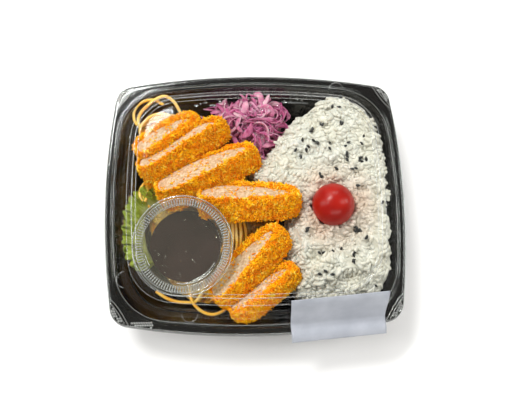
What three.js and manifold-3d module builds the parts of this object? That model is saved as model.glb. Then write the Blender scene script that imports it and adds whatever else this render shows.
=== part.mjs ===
// A takeaway cutlet meal in its box: a black thermoformed tray with a clear lid over rice with a
// cherry tomato, sliced crumbed cutlets on a bed of noodles, pickled red cabbage, lettuce and a
// small clear cup of sauce. Millimetres, +Z up, +X to the right and +Y to the back of the box.
import * as THREE from "three";
import { mergeVertices } from "three/addons/utils/BufferGeometryUtils.js";
import Module from "manifold-3d";

const wasm = await Module();
wasm.setup();

// Driving sizes
const BOX_WIDTH = 200;
const BOX_DEPTH = 176;
const RIM_Z = 33; // top of the tray's flange
const LID_TOP_Z = 56.5; // top of the bead round the lid's panel
const SIDE_RADIUS = 474; // bow of the left and right sides
const END_RADIUS = 498; // bow of the front and the back
const CORNER_RADIUS = 13.5; // outer corners of the flange
const TRAY_WALL = 1.0;
const LID_WALL = 0.6;
const GAP = 0.3; // air between two pieces that touch
const SKIRT_DEPTH = 4.5; // downturned edge of the tray's flange

const TOMATO_RADIUS = 14;
const CUP_HEIGHT = 29.2;
const CUP_RIM_RADIUS = 30;
const CUP_TILT = 9; // degrees, the cup leans to the front
const CUP_FOOT = [-46.7, -27, 20]; // middle of the cup's underside
const SAUCE_LEVEL_Z = 26.5;
const LABEL_WIDTH = 60.5;
const LABEL_THICK = 0.3;
const LABEL_TURN = 4.5; // degrees
const LABEL_OVERHANG = 3.9; // how far the label stands out past the front of the tray

// One quadrant of a ring has points on the side's arc, the corner's arc and the end's arc.
const SIDE_STEPS = 3;
const CORNER_STEPS = 6;
const HEAP_STEPS = 44; // points round a heap of food

const radians = THREE.MathUtils.degToRad;

function material(color, roughness, extra = {}) {
  return new THREE.MeshStandardMaterial({ color, roughness, metalness: 0, ...extra });
}

const blackPlastic = material(0x1c1b1c, 0.25);
const clearPlastic = material(0xf2f6f8, 0.08, { transparent: true, opacity: 0.25 });
const paper = material(0xb9bdc6, 0.7);
const rice = material(0xe6e4d8, 0.5);
const tomatoSkin = material(0xbe2416, 0.15);
const noodle = material(0xdab269, 0.45);
const lettuceLeaf = material(0x9cc03c, 0.5);
const pickledCabbage = material(0xc26aa2, 0.4);
const sauceBrown = material(0x3c3234, 0.15);
const crumbCoat = material(0xeb9a10, 0.75);
const cookedMeat = material(0xdcb9a0, 0.55);

// Shapes

// A rectangle with bowed sides and round corners, all arcs tangent to each other.
function bowedRing(halfWidth, halfDepth, cornerRadius, z) {
  const side = new THREE.Vector2(halfWidth - SIDE_RADIUS, 0);
  const end = new THREE.Vector2(0, halfDepth - END_RADIUS);
  const toSide = SIDE_RADIUS - cornerRadius;
  const toEnd = END_RADIUS - cornerRadius;
  const between = end.clone().sub(side);
  const span = between.length();
  const along = (toSide ** 2 - toEnd ** 2 + span ** 2) / (2 * span);
  const across = Math.sqrt(toSide ** 2 - along ** 2);
  between.normalize();
  const corner = side.clone().addScaledVector(between, along);
  corner.add(new THREE.Vector2(-between.y, between.x).multiplyScalar(across));
  const sideTurn = Math.atan2(corner.y - side.y, corner.x - side.x);
  const endTurn = Math.atan2(corner.y - end.y, corner.x - end.x);
  const quadrant = [];
  for (let i = 0; i < SIDE_STEPS; i++) {
    const turn = (sideTurn * (i + 0.5)) / (SIDE_STEPS + 0.5);
    quadrant.push([side.x + SIDE_RADIUS * Math.cos(turn), SIDE_RADIUS * Math.sin(turn)]);
  }
  for (let i = 0; i <= CORNER_STEPS; i++) {
    const turn = sideTurn + ((endTurn - sideTurn) * i) / CORNER_STEPS;
    const x = corner.x + cornerRadius * Math.cos(turn);
    quadrant.push([x, corner.y + cornerRadius * Math.sin(turn)]);
  }
  for (let i = SIDE_STEPS - 1; i >= 0; i--) {
    const turn = Math.PI / 2 - ((Math.PI / 2 - endTurn) * (i + 0.5)) / (SIDE_STEPS + 0.5);
    quadrant.push([END_RADIUS * Math.cos(turn), end.y + END_RADIUS * Math.sin(turn)]);
  }
  const back = quadrant.map(([x, y]) => [-x, y]).reverse();
  const half = quadrant.concat(back);
  const front = half.map(([x, y]) => [x, -y]).reverse();
  return half.concat(front).map(([x, y]) => new THREE.Vector3(x, y, z));
}

// A closed body through rings with equal numbers of points, shut at the first and last ring.
function loft(rings) {
  const count = rings[0].length;
  const points = rings.flat();
  const middle = (ring) =>
    ring.reduce((sum, point) => sum.add(point), new THREE.Vector3()).divideScalar(count);
  const first = points.push(middle(rings[0])) - 1;
  const last = points.push(middle(rings[rings.length - 1])) - 1;
  const faces = [];
  for (let i = 0; i < count; i++) {
    const next = (i + 1) % count;
    faces.push(first, next, i);
    for (let k = 0; k + 1 < rings.length; k++) {
      const low = k * count;
      const high = low + count;
      faces.push(low + i, low + next, high + next, low + i, high + next, high + i);
    }
    const top = (rings.length - 1) * count;
    faces.push(last, top + i, top + next);
  }
  return new THREE.BufferGeometry().setFromPoints(points).setIndex(faces);
}

// A heap over a closed outline: rings shrink towards its middle as they climb to a lumpy top.
// Steepness says how far out the top stays level, and edge is the height left at the outline.
function heap(outline, topAt, { steepness, edge, grow = 0 }) {
  const curve = new THREE.CatmullRomCurve3(
    outline.map(([x, y]) => new THREE.Vector3(x, y, 0)),
    true,
  );
  const rim = curve.getSpacedPoints(HEAP_STEPS).slice(0, HEAP_STEPS);
  if (THREE.ShapeUtils.isClockWise(rim)) rim.reverse();
  const middle = rim.reduce((sum, p) => sum.add(p), new THREE.Vector3()).divideScalar(rim.length);
  const ringAt = (share, z) =>
    rim.map((point) => {
      const arm = point.clone().sub(middle);
      arm.multiplyScalar(share).add(middle);
      const top = topAt(arm.x, arm.y);
      arm.z = z ?? top * (edge + (1 - edge) * (1 - share ** steepness)) + grow;
      arm.add(point.clone().sub(middle).setLength(grow).setZ(0));
      return arm;
    });
  const rings = [ringAt(1, -5), ringAt(1), ...[0.94, 0.84, 0.7, 0.5, 0.25].map((s) => ringAt(s))];
  return loft(rings);
}

// A low swell and a finer one, for uneven tops.
function lumps(x, y, size, height) {
  const swell = Math.sin(x / size + 1.3) * Math.sin(y / size + 0.4);
  const fine = Math.sin((2.3 * x) / size + y / size) * Math.sin((2.1 * y) / size - x / size);
  return height * (swell + 0.5 * fine);
}

// Turned parts: a profile of [radius, height] pairs round the upright axis.
function turned(profile, steps = 40) {
  const points = profile.map(([radius, height]) => new THREE.Vector2(radius, height));
  return new THREE.LatheGeometry(points, steps).rotateX(Math.PI / 2);
}

// Cuts and joins

function solid(geometry) {
  const bare = geometry.clone();
  bare.deleteAttribute("normal");
  bare.deleteAttribute("uv");
  const merged = mergeVertices(bare, 1e-3);
  const mesh = new wasm.Mesh({
    numProp: 3,
    vertProperties: merged.attributes.position.array,
    triVerts: new Uint32Array(merged.index.array),
  });
  return new wasm.Manifold(mesh);
}

function geometryOf(manifold) {
  const mesh = manifold.getMesh();
  const position = new Float32Array(mesh.numVert * 3);
  for (let i = 0; i < mesh.numVert; i++) {
    position.set(mesh.vertProperties.subarray(i * mesh.numProp, i * mesh.numProp + 3), i * 3);
  }
  const geometry = new THREE.BufferGeometry();
  geometry.setAttribute("position", new THREE.BufferAttribute(position, 3));
  geometry.setIndex(new THREE.BufferAttribute(mesh.triVerts, 1));
  geometry.computeVertexNormals();
  return geometry;
}

// The largest body that is left when the cutters are taken away.
function carved(start, cutters) {
  const rest = cutters.reduce((body, cutter) => body.subtract(cutter), start);
  const bodies = rest.decompose();
  bodies.sort((a, b) => b.volume() - a.volume());
  return geometryOf(bodies[0]);
}

const meal = new THREE.Group();

function addPart(name, geometry, finish, parent = meal) {
  const mesh = new THREE.Mesh(geometry, finish);
  mesh.name = name;
  parent.add(mesh);
  return mesh;
}

// Tray: a thermoformed shell with a flange, wide at the corners, that turns down into a skirt.
const FLOOR_HALF = [76.5, 64.5];
const MOUTH_HALF = [92.5, 80];
const EDGE_HALF = [BOX_WIDTH / 2, BOX_DEPTH / 2];
const MOUTH_CORNER = 32;
const FLOOR_CORNER = 26;
const EDGE_ROUND = 0.8;

function trayRing([halfWidth, halfDepth], outward, cornerRadius, z) {
  return bowedRing(halfWidth + outward, halfDepth + outward, cornerRadius + outward, z);
}

const flangeUnder = RIM_Z - TRAY_WALL;
const skirtFoot = RIM_Z - SKIRT_DEPTH;
const tray = loft([
  trayRing(FLOOR_HALF, -2, FLOOR_CORNER, 0),
  trayRing(FLOOR_HALF, 1.2, FLOOR_CORNER, 1.8),
  trayRing(MOUTH_HALF, TRAY_WALL, MOUTH_CORNER, flangeUnder),
  trayRing(EDGE_HALF, -TRAY_WALL, CORNER_RADIUS, flangeUnder),
  trayRing(EDGE_HALF, -TRAY_WALL, CORNER_RADIUS, skirtFoot),
  trayRing(EDGE_HALF, 0, CORNER_RADIUS, skirtFoot),
  trayRing(EDGE_HALF, 0, CORNER_RADIUS, RIM_Z - EDGE_ROUND),
  trayRing(EDGE_HALF, -EDGE_ROUND, CORNER_RADIUS, RIM_Z),
  trayRing(MOUTH_HALF, 0, MOUTH_CORNER, RIM_Z),
  trayRing(FLOOR_HALF, 0.4, FLOOR_CORNER, 2.6),
  trayRing(FLOOR_HALF, -2, FLOOR_CORNER, TRAY_WALL),
]);
addPart("tray", tray, blackPlastic);

// Lid: a clear shell that lies on the flange and rises to a flat panel with a bead at its edge.
const LID_FOOT_HALF = [91, 78.5];
const SHOULDER_HALF = [82.2, 69.4];
const PANEL_HALF = [77.3, 64.5];
const LID_FOOT_CORNER = 33;
const SHOULDER_CORNER = 29.5;
const PANEL_CORNER = 27;
const BEAD_WIDTH = 1.7;
const BEAD_HEIGHT = 0.8;
const LID_EDGE_INSET = 0.6;
const lidUnder = RIM_Z + GAP;
const lidFlangeTop = lidUnder + LID_WALL;
const lidFootZ = lidFlangeTop + 1.4;
const shoulderZ = LID_TOP_Z - 5.5;
const fieldTop = LID_TOP_Z - BEAD_HEIGHT;
const lid = loft([
  trayRing(PANEL_HALF, -BEAD_WIDTH - LID_WALL, PANEL_CORNER, fieldTop - LID_WALL),
  trayRing(PANEL_HALF, -BEAD_WIDTH + 0.1, PANEL_CORNER, LID_TOP_Z - LID_WALL),
  trayRing(PANEL_HALF, -0.4, PANEL_CORNER, LID_TOP_Z - LID_WALL),
  trayRing(SHOULDER_HALF, -LID_WALL, SHOULDER_CORNER, shoulderZ - 0.3),
  trayRing(LID_FOOT_HALF, -LID_WALL, LID_FOOT_CORNER, lidFootZ),
  trayRing(LID_FOOT_HALF, 0.6, LID_FOOT_CORNER, lidUnder),
  trayRing(EDGE_HALF, -LID_EDGE_INSET, CORNER_RADIUS, lidUnder),
  trayRing(EDGE_HALF, -LID_EDGE_INSET, CORNER_RADIUS, lidFlangeTop),
  trayRing(LID_FOOT_HALF, 1.1, LID_FOOT_CORNER, lidFlangeTop),
  trayRing(LID_FOOT_HALF, 0, LID_FOOT_CORNER, lidFootZ),
  trayRing(SHOULDER_HALF, 0, SHOULDER_CORNER, shoulderZ),
  trayRing(PANEL_HALF, 0, PANEL_CORNER, LID_TOP_Z),
  trayRing(PANEL_HALF, -BEAD_WIDTH, PANEL_CORNER, LID_TOP_Z),
  trayRing(PANEL_HALF, -BEAD_WIDTH - 0.5, PANEL_CORNER, fieldTop),
]);
addPart("lid", lid, clearPlastic);

// The space inside the closed box, clear of tray and lid by the gap all round.
const space = solid(
  loft([
    trayRing(FLOOR_HALF, -2.5, FLOOR_CORNER, TRAY_WALL + GAP),
    trayRing(FLOOR_HALF, -0.2, FLOOR_CORNER, 2.8),
    trayRing(MOUTH_HALF, -0.7, MOUTH_CORNER, RIM_Z - 0.6),
    trayRing(LID_FOOT_HALF, 0.2, LID_FOOT_CORNER, lidUnder),
    trayRing(LID_FOOT_HALF, -LID_WALL - GAP, LID_FOOT_CORNER, lidFootZ),
    trayRing(SHOULDER_HALF, -LID_WALL - GAP, SHOULDER_CORNER, shoulderZ - 0.4),
    trayRing(PANEL_HALF, -1.2, PANEL_CORNER, fieldTop - LID_WALL - GAP),
  ]),
);

// Label: a blank paper sticker over the lid's front shoulder, wall and flange, free at its end.
// Its section is [distance outward from the panel's edge, height].
const LABEL_MIDDLE_X = 49;
const labelLine = new THREE.CatmullRomCurve3(
  [
    [1.6, LID_TOP_Z - 1],
    [5.6, shoulderZ + 0.4],
    [14.4, lidFootZ + 1.6],
    [18, lidFlangeTop + 0.7],
    [23.6, lidFlangeTop + 0.5],
    [27.4, RIM_Z - 0.6],
  ].map(([out, z]) => new THREE.Vector3(out, z, 0)),
);
const labelUnder = labelLine.getPoints(20);
const labelOver = labelUnder.map((point, i) => {
  const slope = labelLine.getTangent(i / (labelUnder.length - 1));
  return new THREE.Vector2(point.x - slope.y * LABEL_THICK, point.y + slope.x * LABEL_THICK);
});
const labelShape = new THREE.Shape([...labelUnder.map(({ x, y }) => new THREE.Vector2(x, y))]
  .concat(labelOver.reverse()));
const label = new THREE.ExtrudeGeometry(labelShape, { depth: LABEL_WIDTH, bevelEnabled: false });
label.translate(0, 0, -LABEL_WIDTH / 2).rotateX(Math.PI / 2).rotateZ(-Math.PI / 2);
const labelMesh = addPart("label", label, paper);
labelMesh.rotation.z = radians(LABEL_TURN);
labelMesh.position.set(LABEL_MIDDLE_X, -PANEL_HALF[1] + 1.9, 0);

// Sauce cup: a turned clear cup with a flared rim and a push-on lid, leaning to the front.
const CUP_WALL = 0.6;
const CUP_FOOT_RADIUS = 22.3;
const CUP_BODY_RADIUS = 28.4; // outside, under the rim
const cupGroup = new THREE.Group();
cupGroup.position.set(...CUP_FOOT);
cupGroup.rotation.x = radians(CUP_TILT);
meal.add(cupGroup);
cupGroup.updateMatrixWorld(true);

const rimUnder = CUP_HEIGHT - 1.4;
const cup = turned([
  [0, 0],
  [CUP_FOOT_RADIUS - 0.6, 0],
  [CUP_FOOT_RADIUS, 0.6],
  [CUP_BODY_RADIUS, rimUnder],
  [CUP_RIM_RADIUS, rimUnder],
  [CUP_RIM_RADIUS, CUP_HEIGHT],
  [CUP_BODY_RADIUS - CUP_WALL, CUP_HEIGHT],
  [CUP_FOOT_RADIUS - CUP_WALL, 0.9],
  [CUP_FOOT_RADIUS - CUP_WALL - 0.4, CUP_WALL],
  [0, CUP_WALL],
]);
addPart("cup", cup, clearPlastic, cupGroup);

const capUnder = CUP_HEIGHT + GAP;
const capTop = capUnder + CUP_WALL;
const capSkirtFoot = CUP_HEIGHT - 3;
const recessZ = CUP_HEIGHT - 2.5;
const capOuterRadius = CUP_RIM_RADIUS + 1.2;
const recessRadius = 26;
const cupLid = turned([
  [0, recessZ],
  [recessRadius, recessZ],
  [recessRadius + 1.2, capUnder],
  [CUP_RIM_RADIUS + GAP, capUnder],
  [CUP_RIM_RADIUS + GAP, capSkirtFoot],
  [capOuterRadius, capSkirtFoot],
  [capOuterRadius - 0.2, capTop - 0.4],
  [capOuterRadius - 0.8, capTop],
  [recessRadius + 0.8, capTop],
  [recessRadius - 0.4, recessZ + CUP_WALL],
  [0, recessZ + CUP_WALL],
]);
addPart("cup_lid", cupLid, clearPlastic, cupGroup);

// A solid of the cup and its lid with the gap added, to cut the food round them.
const cupOutside = solid(
  turned([
    [0, -GAP],
    [CUP_FOOT_RADIUS + GAP, -GAP],
    [CUP_BODY_RADIUS + GAP, capSkirtFoot - GAP],
    [capOuterRadius + GAP, capSkirtFoot - GAP],
    [capOuterRadius + GAP, capTop + GAP],
    [0, capTop + GAP],
  ]).applyMatrix4(cupGroup.matrixWorld),
);

// Sauce: it fills the leaning cup up to a level surface.
const sauceBody = solid(
  turned([
    [0, CUP_WALL + GAP],
    [CUP_FOOT_RADIUS - 2 * CUP_WALL - GAP, CUP_WALL + GAP],
    [CUP_BODY_RADIUS - CUP_WALL - GAP, CUP_HEIGHT],
    [0, CUP_HEIGHT],
  ]).applyMatrix4(cupGroup.matrixWorld),
);
const ABOVE = 100;
const aboveSauce = new THREE.BoxGeometry(ABOVE, ABOVE, ABOVE);
aboveSauce.translate(CUP_FOOT[0], CUP_FOOT[1], SAUCE_LEVEL_Z + ABOVE / 2);
addPart("sauce", carved(sauceBody, [solid(aboveSauce)]), sauceBrown);

// Cherry tomato, half sunk in the rice.
const TOMATO_AT = [50, -5, RIM_Z + 6.5];
const tomato = new THREE.SphereGeometry(TOMATO_RADIUS, 24, 16);
const tomatoMesh = addPart("tomato", tomato, tomatoSkin);
tomatoMesh.position.set(...TOMATO_AT);
tomatoMesh.scale.z = 0.97;
const tomatoOutside = solid(
  new THREE.SphereGeometry(TOMATO_RADIUS + GAP, 24, 16).translate(...TOMATO_AT),
);

// What already has its place, grown by the gap: each later piece is cut round all of it.
const placed = [cupOutside, tomatoOutside];

// Cutlets: crosswise slices that lean on each other with one cut face up. Each is meat that runs
// through a coat of crumbs. Heading is the way its length points, lean tips the cut face back, and
// a slice thins by its taper from the middle to the far end, its meat by more.
const SLICES = [
  { name: "slice_a", at: [-57.6, 43.2, 30.7], long: 47, wide: 16, heading: 33, lean: 38, bend: 2 },
  { name: "slice_b", at: [-47.7, 35.2, 33.5], long: 64, wide: 17, heading: 32, lean: 40, bend: 4 },
  { name: "slice_c", at: [-31.4, 17.5, 34.7], long: 70, wide: 17, heading: 25, lean: 42, bend: 2 },
  { name: "slice_d", at: [-4.3, -1.7, 38.4], long: 65, wide: 16, heading: -2, lean: 45, rise: 3 },
  { name: "slice_e", at: [-4.5, -42.6, 32.8], long: 62, wide: 17, heading: 46, lean: 43, rise: 6 },
  { name: "slice_f", at: [4.2, -59, 31.2], long: 50, wide: 13, heading: 34, lean: 42, rise: 4 },
];
// Thickness of each slice through both coats, its taper, and the thickness of its meat.
const THICKNESS = {
  slice_a: [15, 0.15, 7],
  slice_b: [15, 0.2, 10],
  slice_c: [16.5, 0.2, 11.5],
  slice_d: [16.5, 0.1, 10.3],
  slice_e: [16.5, 0.1, 10],
  slice_f: [15, 0.1, 7.5],
};
const MEAT_TAPER = 0.5;
const MEAT_SHORTER = 10; // meat's length is less than the slice's by this
const MEAT_SHIFT = -1.5; // and its middle lies this far along
const OUTLINE_STEPS = 28;
const BLUNTNESS = 2.7; // exponent of the superellipse that a slice's outline follows

// Outline of a cut face, slightly bent and thinner at its far end.
function sliceOutline(long, thick, taper, bend, grow = 0, shift = 0) {
  const points = [];
  for (let i = 0; i < OUTLINE_STEPS; i++) {
    const turn = (2 * Math.PI * i) / OUTLINE_STEPS;
    const cos = Math.cos(turn);
    const sin = Math.sin(turn);
    const u = Math.sign(cos) * Math.abs(cos) ** (2 / BLUNTNESS);
    const v = Math.sign(sin) * Math.abs(sin) ** (2 / BLUNTNESS);
    const y = v * ((thick * (1 - taper * u)) / 2 + grow) + bend * (0.5 - u * u);
    points.push(new THREE.Vector2(u * (long / 2 + grow) + shift, y));
  }
  return points;
}

function slab(outline, thick, hole) {
  const shape = new THREE.Shape(outline);
  if (hole) shape.holes.push(new THREE.Path(hole));
  const geometry = new THREE.ExtrudeGeometry(shape, { depth: thick, bevelEnabled: false });
  return geometry.translate(0, 0, -thick / 2);
}

for (const { name, at, long, wide, heading, lean, bend = 1, rise = 0 } of SLICES) {
  const place = new THREE.Object3D();
  place.position.set(...at);
  place.rotation.set(-radians(lean), -radians(rise), radians(heading), "ZYX");
  place.updateMatrixWorld(true);
  const [thick, taper, meatThick] = THICKNESS[name];
  const meatLong = long - MEAT_SHORTER;
  const outer = sliceOutline(long, thick, taper, bend);
  const hole = sliceOutline(meatLong, meatThick, MEAT_TAPER, bend, GAP, MEAT_SHIFT);
  const fill = sliceOutline(meatLong, meatThick, MEAT_TAPER, bend, 0, MEAT_SHIFT);
  const grown = sliceOutline(long, thick, taper, bend, GAP);
  const coat = solid(slab(outer, wide, hole).applyMatrix4(place.matrixWorld));
  const meat = solid(slab(fill, wide - 0.4).applyMatrix4(place.matrixWorld));
  addPart(name + "_coat", carved(coat.intersect(space), placed), crumbCoat);
  addPart(name + "_meat", carved(meat.intersect(space), placed), cookedMeat);
  placed.push(solid(slab(grown, wide + 2 * GAP).applyMatrix4(place.matrixWorld)));
}

// A heap fills the space that the pieces before it leave free.
function addHeap(name, finish, outline, topAt, form) {
  const body = solid(heap(outline, topAt, form)).intersect(space);
  addPart(name, carved(body, placed), finish);
  placed.push(solid(heap(outline, topAt, { ...form, grow: 2 * GAP })));
}

// Rice: one mound that fills the right of the tray, steep towards the cutlets.
const RICE_OUTLINE = [
  [53, 74], [41, 64], [27, 57], [16, 40], [4, 28], [-4, 17], [12, 7], [24, -1], [23, -12],
  [19, -24], [22, -44], [29, -66], [52, -72], [76, -66], [92, -40], [95, -10], [95, 22], [86, 50],
  [72, 68],
];
const riceTop = (x, y) => RIM_Z + 6 + lumps(x, y, 9, 0.9) - 0.0006 * (x - 50) ** 2;
addHeap("rice", rice, RICE_OUTLINE, riceTop, { steepness: 9, edge: 0.7 });

// Noodles: the bed under the cutlets and the cup, heaped up against the tray's back left corner.
const NOODLE_OUTLINE = [
  [-86, 58], [-76, 70], [-62, 74], [-46, 64], [-24, 50], [-6, 36], [6, 18], [12, 0], [16, -24],
  [15, -46], [2, -66], [-20, -71], [-42, -68], [-58, -56], [-68, -40], [-76, -8], [-80, 26],
];
const noodleTop = (x, y) => {
  const corner = Math.exp(-((x + 74) ** 2 + (y - 62) ** 2) / 300);
  return 23 + 8 * corner + lumps(x, y, 8, 1);
};
addHeap("noodles", noodle, NOODLE_OUTLINE, noodleTop, { steepness: 6, edge: 0.6 });

// Lettuce: a frilled leaf against the left wall that reaches under the cup.
const LETTUCE_OUTLINE = [
  [-80, 10], [-70, 6], [-60, 2], [-52, -8], [-50, -30], [-62, -44], [-78, -42], [-90, -36],
  [-94, -16], [-90, 0],
];
const lettuceTop = (x, y) => 30 + 2.5 * Math.sin(y / 3.2) + 1.5 * Math.sin(x / 2.6);
addHeap("lettuce", lettuceLeaf, LETTUCE_OUTLINE, lettuceTop, { steepness: 4, edge: 0.8 });

// Pickled red cabbage: a loose heap of shreds behind the cutlets.
const CABBAGE_OUTLINE = [
  [-17, 75], [-5, 80], [8, 78], [19, 66], [23, 54], [15, 44], [10, 34], [0, 34], [-10, 44],
  [-24, 52], [-31, 62],
];
const cabbageTop = (x, y) => 31 + lumps(x, y, 5, 2.2);
addHeap("red_cabbage", pickledCabbage, CABBAGE_OUTLINE, cabbageTop, { steepness: 3, edge: 0.45 });

// The origin is under the middle of the whole meal, and its front edge is the label's end.
meal.position.y = LABEL_OVERHANG / 2;

export default meal;
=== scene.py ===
import math
import random

import bmesh
import bpy
import numpy as np
from mathutils import Matrix, Vector, noise
from mathutils.bvhtree import BVHTree


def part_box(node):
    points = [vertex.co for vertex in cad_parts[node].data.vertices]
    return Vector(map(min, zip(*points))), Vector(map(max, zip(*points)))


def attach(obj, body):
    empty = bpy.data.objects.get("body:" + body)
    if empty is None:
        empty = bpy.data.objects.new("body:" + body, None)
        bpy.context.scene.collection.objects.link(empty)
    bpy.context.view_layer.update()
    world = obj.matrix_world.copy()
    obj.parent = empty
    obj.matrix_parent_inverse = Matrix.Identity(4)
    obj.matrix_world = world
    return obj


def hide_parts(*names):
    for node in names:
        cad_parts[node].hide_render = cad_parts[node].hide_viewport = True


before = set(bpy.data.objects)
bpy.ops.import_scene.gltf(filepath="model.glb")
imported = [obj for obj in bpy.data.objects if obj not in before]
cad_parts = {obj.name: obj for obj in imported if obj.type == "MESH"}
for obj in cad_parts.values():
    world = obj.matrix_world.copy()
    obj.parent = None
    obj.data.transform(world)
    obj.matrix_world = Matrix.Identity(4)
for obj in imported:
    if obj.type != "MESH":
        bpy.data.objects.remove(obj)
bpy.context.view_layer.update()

# Tray. A black polystyrene sheet, drawn hot over a mould, so that floor, wall and flange are one
# shell. Its flange turns down into a skirt, and the skirt's fine ribs stiffen the cut edge.
MM = 0.001  # sizes below are in millimetres from the middle of the tray's underside
SIDE_RADIUS = 474.0  # bow of the tray's left and right sides
END_RADIUS = 498.0  # bow of its front and back
EDGE_CORNER = 13.5
MOUTH = (92.5, 80.0)
MOUTH_CORNER = 32.0
FLOOR = (76.5, 64.5)
FLOOR_CORNER = 26.0
RIB_PITCH = 1.2
RIB_DEPTH = 0.35

tray_low, tray_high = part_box("tray")
EDGE = ((tray_high.x - tray_low.x) / 2 / MM, (tray_high.y - tray_low.y) / 2 / MM)
RIM = tray_high.z / MM
TRAY_MIDDLE = Vector((0, (tray_low.y + tray_high.y) / 2, 0))
TO_FRAME = Matrix.Translation(TRAY_MIDDLE) @ Matrix.Scale(MM, 4)


def linear(colour):
    """An sRGB hex colour as linear red, green, blue and alpha."""
    channels = [int(colour[i : i + 2], 16) / 255 for i in (1, 3, 5)]
    return [c / 12.92 if c <= 0.04045 else ((c + 0.055) / 1.055) ** 2.4 for c in channels] + [1]


def per(size):
    """The texture scale at which one cell of a pattern is size millimetres wide."""
    return 1 / (size * MM)


def add_node(tree, kind, settings=None, links=None):
    """A shader node with its settings and links; a link names a socket or a node's first output."""
    node = tree.nodes.new("ShaderNode" + kind)
    for name, value in (settings or {}).items():
        if name == "stops":
            for element, (at, colour) in zip(node.color_ramp.elements, (value[0], value[-1])):
                element.position, element.color = at, linear(colour)
            for at, colour in value[1:-1]:
                node.color_ramp.elements.new(at).color = linear(colour)
        elif isinstance(name, int) or name in node.inputs:
            node.inputs[name].default_value = value
        else:
            setattr(node, name, value)
    for name, source in (links or {}).items():
        tree.links.new(getattr(source, "outputs", [source])[0], node.inputs[name])
    return node


def new_material(name):
    """An empty material, its node tree, and its patterns' coordinates in metres."""
    made = bpy.data.materials.new(name)
    made.use_nodes = True
    made.node_tree.nodes.clear()
    coords = add_node(made.node_tree, "TexCoord").outputs["Object"]
    return made, made.node_tree, coords


def add_piece(name, bm, finish, nodes=(), sharp=None):
    """Turns a mesh in millimetres into a piece of the meal that stands for CAD nodes."""
    bm.transform(TO_FRAME)
    mesh = bpy.data.meshes.new(name)
    bm.to_mesh(mesh)
    bm.free()
    mesh.shade_smooth()
    if sharp:
        mesh.set_sharp_from_angle(angle=math.radians(sharp))
    ride_along(name, mesh, finish, nodes)


def ride_along(name, mesh, finish, nodes=()):
    """Turns a mesh in metres into a piece of the meal that stands for CAD nodes."""
    mesh.materials.append(finish)
    piece = bpy.data.objects.new(name, mesh)
    bpy.context.scene.collection.objects.link(piece)
    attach(piece, "root")
    if nodes:
        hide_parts(*nodes)


def bowed_ring(half, corner, steps):
    """Points round a rectangle with bowed sides and round corners, all arcs tangent.
    half is its half width and half depth, and steps the points on side, corner and end arcs."""
    side = Vector((half[0] - SIDE_RADIUS, 0))
    end = Vector((0, half[1] - END_RADIUS))
    to_side, to_end = SIDE_RADIUS - corner, END_RADIUS - corner
    between = end - side
    span = between.length
    along = (to_side**2 - to_end**2 + span**2) / (2 * span)
    across = math.sqrt(to_side**2 - along**2)
    between.normalize()
    centre = side + between * along + Vector((-between.y, between.x)) * across
    side_turn = math.atan2(centre.y - side.y, centre.x - side.x)
    end_turn = math.atan2(centre.y - end.y, centre.x - end.x)
    arcs = (
        (side, SIDE_RADIUS, 0, side_turn, steps[0]),
        (centre, corner, side_turn, end_turn, steps[1]),
        (end, END_RADIUS, end_turn, math.pi / 2, steps[2]),
    )
    quarter = []
    for middle, radius, start, stop, count in arcs:
        for i in range(count):
            turn = start + (stop - start) * (i + 0.5) / count
            quarter.append((middle.x + radius * math.cos(turn), middle.y + radius * math.sin(turn)))
    half_ring = quarter + [(-x, y) for x, y in reversed(quarter)]
    return half_ring + [(x, -y) for x, y in reversed(half_ring)]


def softened(profile):
    """A profile whose corners are rounded: the last number of each row says how far from it."""
    rows = [np.array(row[:-1], float) for row in profile]
    smooth = [rows[0]]
    for before, here, after, row in zip(rows, rows[1:], rows[2:], profile[1:-1]):
        if not row[-1]:
            smooth.append(here)
            continue
        start = here + (before - here) * min(0.5, row[-1] / np.linalg.norm(before - here))
        stop = here + (after - here) * min(0.5, row[-1] / np.linalg.norm(after - here))
        for t in (0, 0.25, 0.5, 0.75, 1):
            smooth.append((1 - t) ** 2 * start + 2 * t * (1 - t) * here + t * t * stop)
    return smooth + [rows[-1]]


def walk_rings(bm, rings, closed=False):
    """A skin through rings of equally many points, made by pushing one loop of edges along."""
    step = bm.verts.layers.int.get("step") or bm.verts.layers.int.new("step")
    count = len(rings[0])
    loop = bmesh.ops.create_circle(bm, segments=count, radius=1)["verts"]
    for i, vert in enumerate(loop):
        vert[step] = i
        vert.co = rings[0][i]
    edges = list(dict.fromkeys(edge for vert in loop for edge in vert.link_edges))
    made = list(loop)
    for ring in rings[1:] + (rings[:1] if closed else []):
        pushed = bmesh.ops.extrude_edge_only(bm, edges=edges)["geom"]
        verts = [part for part in pushed if isinstance(part, bmesh.types.BMVert)]
        edges = [part for part in pushed if isinstance(part, bmesh.types.BMEdge)]
        for vert in verts:
            vert.co = ring[vert[step]]
        made += verts
    if closed:
        bmesh.ops.remove_doubles(bm, verts=made, dist=1e-4)
    return edges


def bowed_shell(profile, steps, ribs=()):
    """A closed shell from (half width, half depth, corner, height) rows; ribbed rows zigzag."""
    bm = bmesh.new()
    rings = []
    for row, (half_width, half_depth, corner, z) in enumerate(profile):
        ring = bowed_ring((half_width, half_depth), corner, steps)
        if row in ribs:
            shrunk = (half_width - RIB_DEPTH, half_depth - RIB_DEPTH)
            inner = bowed_ring(shrunk, corner - RIB_DEPTH, steps)
            ring = [point if i % 2 else inner[i] for i, point in enumerate(ring)]
        rings.append([(x, y, z) for x, y in ring])
    last = walk_rings(bm, rings)
    bmesh.ops.contextual_create(bm, geom=last)
    first = [edge for edge in bm.edges if edge.is_boundary]
    bmesh.ops.contextual_create(bm, geom=first)
    bmesh.ops.recalc_face_normals(bm, faces=bm.faces)
    return bm


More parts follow.
